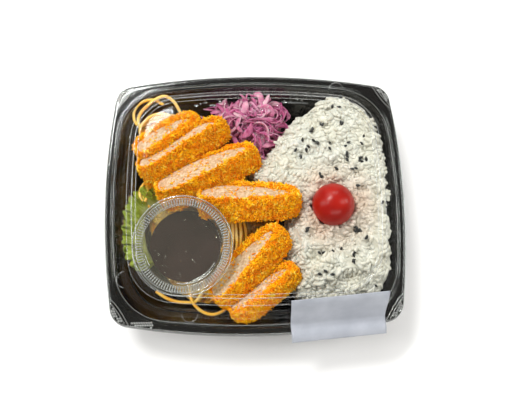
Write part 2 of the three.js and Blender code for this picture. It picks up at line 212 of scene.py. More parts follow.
def grown(half, corner, outward, z, soft=0.0):
    """A row of a profile: a bowed outline moved outward, its height and how soft its corner is."""
    return (half[0] + outward, half[1] + outward, corner + outward, z, soft)


black_polystyrene, tree, coords = new_material("black_polystyrene_thermoformed")
# Glossy black sheet; drawing it over the mould leaves it slightly wavy, which breaks reflections.
waves = add_node(tree, "TexNoise", {"Scale": per(9), "Detail": 2.0}, {"Vector": coords})
grain = add_node(tree, "TexNoise", {"Scale": per(0.8), "Detail": 3.0}, {"Vector": coords})
wavy = add_node(tree, "Bump", {"Strength": 0.35, "Distance": 0.0006}, {"Height": waves})
fine = add_node(
    tree, "Bump", {"Strength": 0.15, "Distance": 0.0001}, {"Height": grain, "Normal": wavy}
)
dust = add_node(tree, "ValToRGB", {"stops": [(0.35, "#070606"), (0.75, "#110f0f")]}, {"Fac": waves})
gloss = add_node(tree, "MapRange", {"To Min": 0.1, "To Max": 0.2}, {"Value": grain})
shader = add_node(
    tree, "BsdfPrincipled", {"IOR": 1.59}, {"Base Color": dust, "Roughness": gloss, "Normal": fine}
)
add_node(tree, "OutputMaterial", None, {"Surface": shader})

LEDGE_Z = 19.5
LEDGE = (85.4, 73.0)
LEDGE_CORNER = 29.0
SKIRT_FOOT = RIM - 4.5
tray_profile = softened(
    [
        grown(FLOOR, FLOOR_CORNER, -2.0, 0.0),
        grown(FLOOR, FLOOR_CORNER, 0.4, 0.0, 1.0),
        grown(LEDGE, LEDGE_CORNER, 0.9, LEDGE_Z - 0.6, 0.4),
        grown(LEDGE, LEDGE_CORNER, 2.2, LEDGE_Z, 0.4),
        grown(MOUTH, MOUTH_CORNER, 0.9, RIM - 1, 0.8),
        grown(EDGE, EDGE_CORNER, -1.9, RIM - 1, 0.5),
        grown(EDGE, EDGE_CORNER, -1.1, SKIRT_FOOT),
        grown(EDGE, EDGE_CORNER, 0.0, SKIRT_FOOT),
        grown(EDGE, EDGE_CORNER, -0.35, RIM - 3.4),
        grown(EDGE, EDGE_CORNER, -0.65, RIM - 2.2),
        grown(EDGE, EDGE_CORNER, -0.9, RIM - 1.0),
        grown(EDGE, EDGE_CORNER, -1.2, RIM, 0.7),
        grown(MOUTH, MOUTH_CORNER, 3.0, RIM, 0.6),
        grown(MOUTH, MOUTH_CORNER, 2.0, RIM - 0.8, 0.5),
        grown(MOUTH, MOUTH_CORNER, 0.0, RIM - 0.8, 0.8),
        grown(LEDGE, LEDGE_CORNER, 1.4, LEDGE_Z + 0.8, 0.4),
        grown(LEDGE, LEDGE_CORNER, 0.1, LEDGE_Z, 0.4),
        grown(FLOOR, FLOOR_CORNER, -0.4, 1.0, 2.2),
        grown(FLOOR, FLOOR_CORNER, -6.0, 1.0, 0.8),
        grown(FLOOR, FLOOR_CORNER, -8.0, 1.6, 0.8),
        grown(FLOOR, FLOOR_CORNER, -10.0, 1.6),
    ]
)
in_skirt = [row[0] > EDGE[0] - 0.95 and row[3] < RIM - 0.9 for row in tray_profile]
ribbed = [i for i, skirt in enumerate(in_skirt) if skirt]
quarter_arcs = (72.0, 17.0, 82.0)  # lengths of side, corner and end arcs in one quarter
rib_steps = [2 * round(length / RIB_PITCH) for length in quarter_arcs]
tray = bowed_shell(tray_profile, rib_steps, ribbed)
add_piece("tray_shell", tray, black_polystyrene, ["tray"], sharp=50)

# Noodles. Thin boiled wheat noodles, tossed in oil, laid under the cutlets as a bed. Strands lie
# over a core of the same, and loose ends loop out at the tray's back left corner and at its front.
NOODLE = 2.1  # thickness of a boiled strand
NOODLE_SINK = 3.2  # how far the core lies under the bed's outside
STRAND_STEP = 2.2
STRAND_TRIES = 620
CORE_CELL = 3.0  # edge length down to which a heap's core is cut finer
CORE_CUTS = 3
# Loose ends that stick out of the bed, each a line of points where it runs.
LOOSE_NOODLES = (
    ((-48, 58, 25), (-51, 64, 28), (-55, 70, 31), (-61, 73, 33), (-68, 70, 33), (-73, 66, 32))
    + ((-77, 62, 31), (-79, 57, 29), (-77, 50, 25)),
    ((-62, 68, 30), (-68, 71, 31), (-74, 70.5, 31), (-79, 68, 30), (-82, 63, 29), (-81.5, 57, 28))
    + ((-78, 54, 27), (-71, 57, 26), (-64, 60, 24)),
    ((-58, 62, 25), (-66, 62, 28), (-73, 58, 29), (-78, 51, 27), (-76, 42, 23)),
    ((-66, 22, 23), (-72, 16, 27), (-76.5, 9, 29), (-76, 2, 30), (-73, 1, 30), (-72, 6, 29))
    + ((-71, 13, 27), (-66, 17, 24)),
    ((-62, 16, 23), (-68, 12, 27), (-73.5, 8, 28.5), (-74, 1, 28), (-70, -3, 26)),
    ((-66, -58, 22), (-60, -62, 24), (-54, -64.5, 26), (-48, -65.5, 27), (-40, -65, 27))
    + ((-36, -58, 25), (-34, -50, 23)),
    ((-44, -52, 23), (-44, -60, 26), (-41, -67, 28), (-35, -72, 28), (-28, -73.5, 27))
    + ((-21, -70, 25), (-17, -62, 23)),
    ((-18.5, 2, 24.2), (-19, -8, 27.7), (-18, -20, 28.2), (-19.5, -32, 27.2), (-24, -42, 24.2)),
    ((-16.5, 2, 25.2), (-16.3, -9, 28.7), (-15.6, -21, 29.2), (-16.5, -32, 27.7), (-20, -44, 24.2)),
    ((-14.5, 2, 24.2), (-13.8, -9, 27.8), (-13.4, -20, 28.4), (-13, -30, 27.8), (-16, -42, 24.2)),
    ((-12.5, 2, 25.2), (-11.6, -9, 28.6), (-10.2, -19, 28.8), (-10.4, -28, 27.6), (-12, -40, 24.2)),
    ((-10, 2, 24.2), (-9.2, -9, 27.7), (-7.4, -17, 27.8), (-6.6, -26, 26.8), (-8, -38, 24.2)),
    ((-20.5, 0, 24.2), (-21.4, -9, 27), (-20.6, -20, 27.2), (-22, -30, 26.2), (-28, -38, 23.2)),
)


def cad_copy(node):
    """A merged copy of a CAD node's mesh, in millimetres from under the middle of the tray."""
    bm = bmesh.new()
    bm.from_mesh(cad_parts[node].data)
    bmesh.ops.remove_doubles(bm, verts=bm.verts, dist=1e-6)
    bm.transform(TO_FRAME.inverted())
    bm.normal_update()
    return bm


def sunk_core(node, depth, relief):
    """A CAD heap drawn in by depth, cut finer and given a lumpy relief."""
    bm = cad_copy(node)
    for vert in bm.verts:
        vert.co -= vert.normal * depth
    bmesh.ops.triangulate(bm, faces=bm.faces)
    for _ in range(CORE_CUTS):
        long_edges = [edge for edge in bm.edges if edge.calc_length() > CORE_CELL]
        bmesh.ops.subdivide_edges(bm, edges=long_edges, cuts=1)
        bmesh.ops.triangulate(bm, faces=[face for face in bm.faces if len(face.verts) > 3])
    bm.normal_update()
    for vert in bm.verts:
        vert.co += vert.normal * relief * noise.noise(vert.co / CORE_CELL)
    return bm


def drop(surface, x, y):
    """Where a thing let fall at x, y lands on a surface, and the surface's normal there."""
    return surface.ray_cast(Vector((x, y, 60.0)), Vector((0, 0, -1)))[:2]


tray_solid = cad_copy("tray")
tray_walls = BVHTree.FromBMesh(tray_solid)
tray_solid.free()


def kept_in(place, gap):
    """A place drawn in, level, until it lies at least a gap off the tray's wall."""
    level = Vector((place.x, place.y, 0))
    start = level / 2 + Vector((0, 0, min(max(place.z, 3.0), RIM - 2.0)))
    reach = tray_walls.ray_cast(start, level)[3]
    room = level.length / 2 + reach - gap
    return place - level * max(0.0, 1 - room / level.length)


def smooth_line(points, step):
    """Points about step apart on a smooth curve through the given points."""
    points = [Vector(point) for point in points]
    padded = [points[0] * 2 - points[1]] + points + [points[-1] * 2 - points[-2]]
    line = []
    for before, start, stop, after in zip(padded, padded[1:], padded[2:], padded[3:]):
        count = max(1, round((stop - start).length / step))
        for i in range(count):
            t = i / count
            line.append(
                start
                + (stop - before) * t / 2
                + (2 * before - 5 * start + 4 * stop - after) * t**2 / 2
                + (3 * start - before - 3 * stop + after) * t**3 / 2
            )
    return line + [points[-1]]


def strand_mesh(name, lines, width, thick, sides=8):
    """One mesh of strands of oval section along lines of (point, twist, size)."""
    section = bpy.data.curves.new(name + "_section", "CURVE")
    section.dimensions = "3D"
    rim = section.splines.new("POLY")
    rim.points.add(sides - 1)
    for i, point in enumerate(rim.points):
        turn = 2 * math.pi * i / sides
        point.co = (width / 2 * math.cos(turn) * MM, thick / 2 * math.sin(turn) * MM, 0, 1)
    rim.use_cyclic_u = True
    oval = bpy.data.objects.new(name + "_section", section)
    curve = bpy.data.curves.new(name, "CURVE")
    curve.dimensions = "3D"
    curve.bevel_mode = "OBJECT"
    curve.bevel_object = oval
    curve.use_fill_caps = True
    for line in lines:
        spline = curve.splines.new("POLY")
        spline.points.add(len(line) - 1)
        for point, (place, twist, size) in zip(spline.points, line):
            point.co = (*(TO_FRAME @ place), 1)
            point.tilt = twist
            point.radius = size
    holder = bpy.data.objects.new(name, curve)
    bpy.context.scene.collection.objects.link(oval)
    bpy.context.scene.collection.objects.link(holder)
    bpy.context.view_layer.update()
    mesh = bpy.data.meshes.new_from_object(
        holder.evaluated_get(bpy.context.evaluated_depsgraph_get())
    )
    for made in (holder, oval):
        bpy.data.objects.remove(made)
    mesh.materials.clear()
    bm = bmesh.new()
    bm.from_mesh(mesh)
    bmesh.ops.remove_doubles(bm, verts=bm.verts, dist=1e-7)
    bmesh.ops.recalc_face_normals(bm, faces=bm.faces)
    bm.to_mesh(mesh)
    bm.free()
    mesh.name = name
    mesh.shade_smooth()
    return mesh


boiled_noodle, tree, coords = new_material("wheat_noodle_boiled_oiled")
# Smooth, slightly see-through strands with an oily shine, yellowed by sauce here and there.
stain = add_node(tree, "TexNoise", {"Scale": per(11), "Detail": 2.0}, {"Vector": coords})
straw = add_node(
    tree,
    "ValToRGB",
    {"stops": [(0.35, "#f5aa1c"), (0.5, "#f8c048"), (0.68, "#f5d68e")]},
    {"Fac": stain},
)
shader = add_node(
    tree,
    "BsdfPrincipled",
    {
        "Roughness": 0.3,
        "IOR": 1.42,
        "Subsurface Weight": 0.5,
        "Subsurface Radius": (1.0, 0.7, 0.3),
        "Subsurface Scale": 0.0015,
    },
    {"Base Color": straw},
)
add_node(tree, "OutputMaterial", None, {"Surface": shader})

dice = random.Random(5)
noodle_core = sunk_core("noodles", NOODLE_SINK, 0.8)
noodle_top = BVHTree.FromBMesh(noodle_core)
noodle_lines = [
    [(place, 0.0, 1.0) for place in smooth_line(points, 1.6)] for points in LOOSE_NOODLES
]
for _ in range(STRAND_TRIES):
    x, y = dice.uniform(-84, 16), dice.uniform(-72, 72)
    heading = dice.uniform(0, 2 * math.pi)
    turning = dice.gauss(0, 0.09)
    line = []
    for i in range(34):
        place, normal = drop(noodle_top, x, y)
        if not place or normal.z < 0.3 or (line and abs(place.z - height) > 2.0):
            break
        height = place.z
        lift = NOODLE_SINK - NOODLE * 0.9 + 0.6 * math.sin(i * 0.7 + heading)
        line.append((kept_in(place + Vector((0, 0, lift)), 1.4), 0.0, 1.0))
        turning = 0.85 * turning + dice.gauss(0, 0.05)
        heading += turning
        x += STRAND_STEP * math.cos(heading)
        y += STRAND_STEP * math.sin(heading)
    if len(line) > 5:
        noodle_lines.append(line)
noodle_mesh = strand_mesh("noodle_strands", noodle_lines, NOODLE, NOODLE)
ride_along("noodle_strands", noodle_mesh, boiled_noodle, ["noodles"])
add_piece("noodle_core", noodle_core, boiled_noodle, ["noodles"])

# Lettuce. Torn leaves of a frilled red-tipped lettuce, tucked upright between the wall and the cup.
# The leaf is thin and soft; its edge has grown longer than its rib, so it ruffles.
LEAF_THICK = 0.35
# Margin of the outer leaf, from the back to the front; the other leaves follow it further in.
LEAF_MARGIN = ((-70, 13, 28), (-78, 9, 30), (-84, 3, 31), (-87.5, -8, 31), (-88, -20, 31))
LEAF_MARGIN += ((-87, -31, 30), (-83, -41, 28), (-76, -46, 25))
# Each leaf: how far in it lies, how much lower, the number of its ruffles and their height.
LEAVES = ((0.0, 0.0, 13, 2.8), (2.5, 1.0, 11, 3.0), (5.0, 0.2, 9, 3.0), (8.0, 1.0, 8, 2.4))
LEAF_REACH = 15.0  # from the margin in to the rib

frilled_leaf, tree, coords = new_material("lettuce_leaf_frilled_raw")
# Fresh leaf: light green, paler by the rib, veined, with rust-red tips along the ruffled edge.
leaf_uv = add_node(tree, "UVMap").outputs["UV"]
over_leaf = add_node(tree, "SeparateXYZ", None, {0: leaf_uv})
blotch = add_node(tree, "TexNoise", {"Scale": per(6), "Detail": 3.0}, {"Vector": coords})
tips = add_node(
    tree,
    "MapRange",
    {"From Min": 0.4, "From Max": 0.62, "To Min": -0.2, "To Max": 0.04},
    {"Value": blotch},
)
reach = add_node(tree, "Math", {"operation": "ADD"}, {0: over_leaf.outputs["Y"], 1: tips})
leaf_tone = add_node(
    tree,
    "ValToRGB",
    {
        "stops": [
            (0.0, "#cdd69c"),
            (0.35, "#bfc96a"),
            (0.7, "#a9b93c"),
            (0.96, "#9fae38"),
            (1.0, "#7a5836"),
        ]
    },
    {"Fac": reach},
)
veins = add_node(
    tree, "TexVoronoi", {"Scale": per(3.2), "feature": "DISTANCE_TO_EDGE"}, {"Vector": coords}
)
veined = add_node(tree, "Bump", {"Strength": 0.5, "Distance": 0.0004}, {"Height": veins})
leaf_shine = add_node(
    tree,
    "BsdfPrincipled",
    {"Roughness": 0.35, "IOR": 1.42},
    {"Base Color": leaf_tone, "Normal": veined},
)
leaf_glow = add_node(tree, "BsdfTranslucent", None, {"Color": leaf_tone})
leaf = add_node(tree, "MixShader", {0: 0.35}, {1: leaf_shine, 2: leaf_glow})
add_node(tree, "OutputMaterial", None, {"Surface": leaf})

margin = smooth_line(LEAF_MARGIN, 0.5)
cup_middle = Vector((-46.7, -27, 0))
lettuce = bmesh.new()
lettuce.loops.layers.uv.new("UVMap")
for number, (inward, lower, ruffles, height) in enumerate(LEAVES):
    made = bmesh.ops.create_grid(
        lettuce, x_segments=len(margin) - 1, y_segments=18, size=0.5, calc_uvs=True
    )
    for vert in made["verts"]:
        along = vert.co.x + 0.5
        out = vert.co.y + 0.5
        edge = margin[round(along * (len(margin) - 1))]
        toward = (cup_middle - Vector((edge.x, edge.y, 0))).normalized()
        swing = 2 * math.pi * ruffles * along + number * 1.7
        wave = math.sin(swing + 1.2 * math.sin(swing / 2.3))
        crimp = math.sin(swing * 2.1 + number)
        ruffle = out**2.2
        reach = inward + (LEAF_REACH - inward) * (1 - out)
        place = edge + toward * (reach + 1.6 * ruffle * (1 + crimp) / 2)
        place += Vector((0, 1, 0)) * 1.1 * ruffle * math.cos(swing)
        place.z += height * ruffle * wave + 0.8 * ruffle * crimp - lower
        place.z += 1.2 * noise.noise(place / 5) - 5 * (1 - out) ** 2
        vert.co = place
lettuce.normal_update()
doubled = bmesh.ops.extrude_face_region(lettuce, geom=lettuce.faces[:], use_keep_orig=True)
for vert in (part for part in doubled["geom"] if isinstance(part, bmesh.types.BMVert)):
    vert.co += vert.normal * LEAF_THICK
bmesh.ops.recalc_face_normals(lettuce, faces=lettuce.faces)
add_piece("lettuce_leaves", lettuce, frilled_leaf, ["lettuce"])

# Red cabbage. Finely cut, pickled in sweet vinegar until it turned pink, and dropped in as a loose
# heap. Each shred is a limp ribbon with its own tone, from nearly white rib to purple edge.
SHRED_WIDTH = 3.3
SHRED_THICK = 0.7
SHREDS = 330
SHRED_STEP = 1.7
SHRED_SINK = 3.5  # how far the core lies under the heap's outside

pickled_shred, tree, coords = new_material("red_cabbage_pickled_shred")
# Wet, see-through shreds: vinegar spreads the purple of the skin as pink through the white flesh.
shred_tone = add_node(tree, "NewGeometry").outputs["Random Per Island"]
streaks = add_node(tree, "TexNoise", {"Scale": per(4), "Detail": 3.0}, {"Vector": coords})
island_shift = add_node(tree, "MapRange", {"To Min": -0.3, "To Max": 0.3}, {"Value": shred_tone})
tone_at = add_node(tree, "Math", {"operation": "ADD"}, {0: streaks, 1: island_shift})
pink = add_node(
    tree,
    "ValToRGB",
    {
        "stops": [
            (0.1, "#873260"),
            (0.3, "#ae517e"),
            (0.48, "#c26b90"),
            (0.66, "#ce87a1"),
            (0.85, "#d9a8b5"),
        ]
    },
    {"Fac": tone_at},
)
shader = add_node(
    tree,
    "BsdfPrincipled",
    {
        "Roughness": 0.5,
        "IOR": 1.36,
        "Subsurface Weight": 0.6,
        "Subsurface Radius": (1.0, 0.5, 0.7),
        "Subsurface Scale": 0.0022,
    },
    {"Base Color": pink},
)
add_node(tree, "OutputMaterial", None, {"Surface": shader})

dice = random.Random(17)
cabbage_core = sunk_core("red_cabbage", SHRED_SINK, 1.5)
cabbage_low, cabbage_high = (TO_FRAME.inverted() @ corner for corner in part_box("red_cabbage"))
cabbage_middle = (cabbage_low + cabbage_high) / 2
cabbage_outside = cad_copy("red_cabbage")
cabbage_top = BVHTree.FromBMesh(cabbage_outside)
cabbage_outside.free()
shred_lines = []
while len(shred_lines) < SHREDS:
    x = dice.uniform(cabbage_low.x, cabbage_high.x)
    y = dice.uniform(cabbage_low.y, cabbage_high.y)
    place, normal = drop(cabbage_top, x, y)
    if not place:
        continue
    inward = (cabbage_middle - place) * dice.uniform(0.05, 0.3)
    place = place + Vector((inward.x, inward.y, dice.uniform(-2.0, 1.4)))
    heading = dice.uniform(0, 2 * math.pi)
    curl = dice.choice((-1, 1)) * dice.uniform(0.0, 0.42)
    rise = dice.uniform(-0.25, 0.4)
    droop = dice.uniform(0.04, 0.12)
    twist = dice.uniform(0, math.pi)
    wring = dice.gauss(0, 0.16)
    size = dice.choice((0.45, 0.6, 0.8, 1.1, 1.5))
    count = dice.randint(7, 13)
    line = []
    for i in range(count):
        ends = min(1.0, 0.6 + 0.25 * min(i, count - 1 - i))
        line.append((place.copy(), twist, size * ends))
        step = Vector((math.cos(heading), math.sin(heading), rise)).normalized() * SHRED_STEP
        place = kept_in(place + step, 2.4)
        below, _ = drop(cabbage_top, place.x, place.y)
        bottom = (below.z if below else 24.0) - 2.5
        place.z = max(place.z, bottom)
        heading += curl
        rise -= droop
        twist += wring
    shred_lines.append(line)
shred_mesh = strand_mesh("cabbage_shreds", shred_lines, SHRED_WIDTH, SHRED_THICK)
ride_along("cabbage_shreds", shred_mesh, pickled_shred, ["red_cabbage"])
add_piece("cabbage_core", cabbage_core, pickled_shred, ["red_cabbage"])

# Rice. Steamed short grains, pressed into the tray as one mound while warm, so that they stick
# together. Whole grains lie over a core of the same rice, whose surface is their lower layers.
GRAIN_LENGTH = 5.9
GRAIN_THICK = 2.8
GRAIN_APART = 2.15
GRAIN_COUNT = 3500  # 48 triangles each
RICE_SINK = 0.45  # how far the core lies under the mound's outside
LOWEST_GRAIN = 4.0
RICE_EDGE = 86.0  # about how far to the right the rice reaches


def spread(bm, wanted, apart, dice, keep=lambda place, normal: True):
    """Places strewn evenly over a mesh, no nearer than apart, each with the mesh's normal there."""
    mesh = bpy.data.meshes.new("spread")
    bm.to_mesh(mesh)
    mesh.calc_loop_triangles()
    # An extruded mesh lists its faces in another order each time, so they are put in one order.
    tris = sorted((*sorted(tri.vertices), tri.area) for tri in mesh.loop_triangles)
    verts = [vert.co.copy() for vert in mesh.vertices]
    normals = [vert.normal.copy() for vert in mesh.vertices]
    picks = dice.choices(tris, [tri[3] for tri in tris], k=wanted * 14)
    cells = {}
    places = []
    for a, b, c, _ in picks:
        r, s = math.sqrt(dice.random()), dice.random()
        u, v, w = 1 - r, r * (1 - s), r * s
        place = verts[a] * u + verts[b] * v + verts[c] * w
        normal = (normals[a] * u + normals[b] * v + normals[c] * w).normalized()
        cell = tuple(int(math.floor(x / apart)) for x in place)
        near = (
            other
            for dx in (-1, 0, 1)
            for dy in (-1, 0, 1)
            for dz in (-1, 0, 1)
            for other in cells.get((cell[0] + dx, cell[1] + dy, cell[2] + dz), ())
        )
        if not keep(place, normal) or any((place - other).length < apart for other in near):
            continue
        cells.setdefault(cell, []).append(place)
        places.append((place, normal))
        if len(places) == wanted:
            break
    bpy.data.meshes.remove(mesh)
    return places


def laid(place, normal, heading, tilt=0.0, roll=0.0, size=(1, 1, 1)):
    """The matrix that lays a thing made along X on a surface, turned, tipped up and rolled."""
    return (
        Matrix.Translation(place)
        @ normal.to_track_quat("Z", "Y").to_matrix().to_4x4()
        @ Matrix.Rotation(heading, 4, "Z")
        @ Matrix.Rotation(tilt, 4, "Y")
        @ Matrix.Rotation(roll, 4, "X")
        @ Matrix.Diagonal((*size, 1))
    )


def strewn_mesh(name, template, matrices):
    """One mesh, in metres, of a copy of a small template for each matrix."""
    template.verts.ensure_lookup_table()
    corners = np.array([vert.co for vert in template.verts])
    faces = [[vert.index for vert in face.verts] for face in template.faces]
    template.free()
    stack = np.array([[list(row) for row in TO_FRAME @ matrix] for matrix in matrices])
    points = np.einsum("nij,vj->nvi", stack[:, :3, :3], corners) + stack[:, None, :3, 3]
    all_faces = []
    for copy in range(len(matrices)):
        shift = copy * len(corners)
        all_faces += [[index + shift for index in face] for face in faces]
    mesh = bpy.data.meshes.new(name)
    mesh.from_pydata(points.reshape(-1, 3).tolist(), [], all_faces)
    mesh.shade_smooth()
    return mesh


def clumped(place, normal, gap):
    """A place on the mound moved as the rice sits in clumps, a gap off the tray."""
    lump = 3.4 * noise.noise(place / 9) + 1.2 * noise.noise(place / 4.5)
    place = place + normal * lump + 2.0 * noise.noise_vector(place / 6)
    limit = RICE_EDGE + 6 * noise.noise(Vector((0, place.y, place.z)) / 8)
    return kept_in(Vector((min(place.x, limit), place.y, max(place.z, gap))), gap)


rice_grain_skin, tree, coords = new_material("steamed_rice_glutinous_skin")
# Cooked grains are milky and let a little light in, with a moist, soft shine. Tone drifts from
# grain to grain, and the grains round the tomato are tinted pink, most next to it and none 34 mm
# from its middle.
grain_tone = add_node(tree, "TexNoise", {"Scale": per(4), "Detail": 1.0}, {"Vector": coords})
drift = add_node(tree, "TexNoise", {"Scale": per(22), "Detail": 2.0}, {"Vector": coords})
milky = add_node(
    tree,
    "ValToRGB",
    {"stops": [(0.35, "#cdccc5"), (0.5, "#d6d5ce"), (0.65, "#dfded9")]},
    {"Fac": grain_tone},
)
warm = add_node(
    tree,
    "Mix",
    {"data_type": "RGBA", "blend_type": "MULTIPLY", 7: linear("#f6eede")},
    {0: drift, 6: milky},
)
tomato_low, tomato_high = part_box("tomato")
from_tomato = add_node(
    tree, "VectorMath", {"operation": "DISTANCE", 1: (tomato_low + tomato_high) / 2}, {0: coords}
)
# Pink tint on the grains, strongest next to the tomato and fading out 34 mm from its middle.
juice_reach = add_node(
    tree,
    "MapRange",
    {"From Min": 0.014, "From Max": 0.034, "To Min": 1.1, "To Max": 0.0},
    {"Value": from_tomato.outputs["Value"]},
)
juice = add_node(tree, "Math", {"operation": "MULTIPLY"}, {0: juice_reach, 1: drift})
juiced = add_node(
    tree,
    "Mix",
    {"data_type": "RGBA", "blend_type": "MULTIPLY", 7: linear("#efc3b2")},
    {0: juice, 6: warm.outputs[2]},
)
shader = add_node(
    tree,
    "BsdfPrincipled",
    {
        "Roughness": 0.45,
        "IOR": 1.38,
        "Subsurface Weight": 0.5,
        "Subsurface Radius": (1.0, 0.9, 0.8),
        "Subsurface Scale": 0.001,
    },
    {"Base Color": juiced.outputs[2]},
)
add_node(tree, "OutputMaterial", None, {"Surface": shader})

dice = random.Random(11)
noise.seed_set(11)  # unseeded, noise_vector follows the clock
rice_outside = cad_copy("rice")
rice_core = sunk_core("rice", RICE_SINK, 0.0)
for vert in rice_core.verts:
    vert.co = clumped(vert.co, vert.normal, 1.2)
grain_places = []
for place, normal in spread(rice_outside, GRAIN_COUNT, GRAIN_APART, dice):
    if place.z < LOWEST_GRAIN:
        continue
    depth = 0.6 + dice.uniform(0, 0.5)
    size = (dice.uniform(0.85, 1.12), dice.uniform(0.9, 1.1), dice.uniform(0.85, 1.05))
    grain_places.append(
        laid(
            clumped(place, normal, 3.3) - normal * depth,
            normal,
            dice.uniform(0, math.pi),
            dice.gauss(0, 0.34),
            dice.uniform(-0.5, 0.5),
            size,
        )
    )
grain = bmesh.new()
bmesh.ops.create_uvsphere(grain, u_segments=8, v_segments=4, radius=0.5)
bmesh.ops.rotate(grain, verts=grain.verts, matrix=Matrix.Rotation(math.pi / 2, 3, "Y"))
for vert in grain.verts:
    blunt = vert.co.x * (1 + 0.5 * (vert.co.y**2 + vert.co.z**2))
    vert.co = (blunt * GRAIN_LENGTH, vert.co.y * GRAIN_THICK, vert.co.z * GRAIN_THICK)
    vert.co.y += 0.2 * (vert.co.x / GRAIN_LENGTH) ** 2 * GRAIN_THICK
grain_mesh = strewn_mesh("rice_grains", grain, grain_places)
rice_top = BVHTree.FromPolygons(
    [vert.co / MM - TRAY_MIDDLE / MM for vert in grain_mesh.vertices],
    [tuple(face.vertices) for face in grain_mesh.polygons],
)
ride_along("rice_grains", grain_mesh, rice_grain_skin, ["rice"])
add_piece("rice_core", rice_core, rice_grain_skin, ["rice"])
rice_outside.free()

# Black sesame. Whole roasted seeds, dropped on the rice by the pinch, so that they lie in loose
# groups. Each is a flat drop 3 mm long.
SEED_LENGTH = 3.3
SEED_WIDTH = 1.9
SEED_THICK = 1.0
# Each pinch: the middle of its group, how many seeds it has and how far they spread.
PINCHES = (
    (54, 64, 2, 3),
    (45, 50, 2, 3),
    (58, 51, 2, 2),
    (38, 46, 2, 3),
    (33, 37, 5, 6),
    (41, 36, 3, 4),
    (50, 35, 4, 5),
    (60, 35, 3, 4),
    (72, 39, 3, 4),
    (62, 26, 4, 4),
    (70, 25, 4, 4),
    (29, 28, 2, 2),
    (51, 19, 2, 3),
    (66, 20, 1, 1),
    (40, 17, 2, 8),
    (66, 13, 2, 6),
    (81, -1, 2, 5),
    (33, -21, 3, 3),
    (65, -22, 4, 3),
    (70, -26, 3, 3),
    (39, -34, 2, 3),
    (54, -33, 3, 4),
    (60, -39, 6, 4),
    (45, -46, 3, 6),
    (76, -58, 1, 1),
)

sesame_hull, tree, coords = new_material("black_sesame_roasted_hull")
# Dry black hulls with a fine pitted skin and a dull shine.
pits = add_node(tree, "TexNoise", {"Scale": per(0.5), "Detail": 3.0}, {"Vector": coords})
hull = add_node(tree, "ValToRGB", {"stops": [(0.4, "#0c0b0c"), (0.75, "#2a2624")]}, {"Fac": pits})
pitted = add_node(tree, "Bump", {"Strength": 0.4, "Distance": 0.00008}, {"Height": pits})
shader = add_node(
    tree, "BsdfPrincipled", {"Roughness": 0.45}, {"Base Color": hull, "Normal": pitted}
)
add_node(tree, "OutputMaterial", None, {"Surface": shader})


dice = random.Random(23)
seed_places = []
for x, y, count, reach in PINCHES:
    for _ in range(count):
        place, normal = drop(rice_top, x + dice.gauss(0, reach / 2), y + dice.gauss(0, reach / 2))
        if not place:
            continue
        normal = (normal + Vector((0, 0, 2.0))).normalized()
        seed_places.append(
            laid(
                place + normal * SEED_THICK * 0.7,
                normal,
                dice.uniform(0, 2 * math.pi),
                dice.gauss(0, 0.15),
                dice.gauss(0, 0.15),
                [dice.uniform(0.85, 1.1)] * 3,
            )
        )
seed = bmesh.new()
bmesh.ops.create_uvsphere(seed, u_segments=12, v_segments=8, radius=0.5)
bmesh.ops.rotate(seed, verts=seed.verts, matrix=Matrix.Rotation(math.pi / 2, 3, "Y"))
for vert in seed.verts:
    taper = 1 - 0.55 * max(0.0, vert.co.x) * 2
    vert.co = (
        vert.co.x * SEED_LENGTH, vert.co.y * SEED_WIDTH * taper, vert.co.z * SEED_THICK * taper
    )
seed_mesh = strewn_mesh("sesame_seeds", seed, seed_places)
ride_along("sesame_seeds", seed_mesh, sesame_hull)

# Cherry tomato. A whole ripe fruit with its stalk pulled off, half sunk in the rice on its side,
# so that the small scar where the stalk sat faces down and away.
tomato_middle = TO_FRAME.inverted() @ ((tomato_low + tomato_high) / 2)
tomato_size = (tomato_high - tomato_low) / MM

tomato_skin, tree, coords = new_material("ripe_tomato_waxy_skin")
# A tight waxy skin over juicy flesh: deep red, a little paler at the shoulders, with tiny specks
# and a sharp wet highlight.
blush = add_node(tree, "TexNoise", {"Scale": per(11), "Detail": 2.0}, {"Vector": coords})
specks = add_node(tree, "TexVoronoi", {"Scale": per(1.3)}, {"Vector": coords})
red = add_node(tree, "ValToRGB", {"stops": [(0.35, "#970f06"), (0.65, "#aa180b")]}, {"Fac": blush})
speck_size = add_node(
    tree,
    "MapRange",
    {"From Min": 0.1, "From Max": 0.2, "To Min": 0.35, "To Max": 0.0},
    {"Value": specks},
)
specked = add_node(
    tree, "Mix", {"data_type": "RGBA", 7: linear("#d0492c")}, {0: speck_size, 6: red}
)
shader = add_node(
    tree,
    "BsdfPrincipled",
    {
        "Roughness": 0.28,
        "IOR": 1.4,
        "Specular IOR Level": 0.35,
        "Subsurface Weight": 0.12,
        "Subsurface Radius": (1.0, 0.25, 0.1),
        "Subsurface Scale": 0.002,
    },
    {"Base Color": specked.outputs[2]},
)
add_node(tree, "OutputMaterial", None, {"Surface": shader})

tomato = bmesh.new()
bmesh.ops.create_uvsphere(tomato, u_segments=72, v_segments=40, radius=0.5)
scar_way = Vector((0.75, 0.35, -0.55)).normalized()
for vert in tomato.verts:
    way = vert.co.normalized()
    dent = math.exp(-((1 - way.dot(scar_way)) / 0.02))
    lobes = 0.004 * noise.noise(way * 1.6)
    vert.co = way * (0.494 + lobes - 0.05 * dent)
    vert.co = [vert.co[axis] * tomato_size[axis] for axis in range(3)]
bmesh.ops.translate(tomato, verts=tomato.verts, vec=tomato_middle)
add_piece("tomato_fruit", tomato, tomato_skin, ["tomato"])

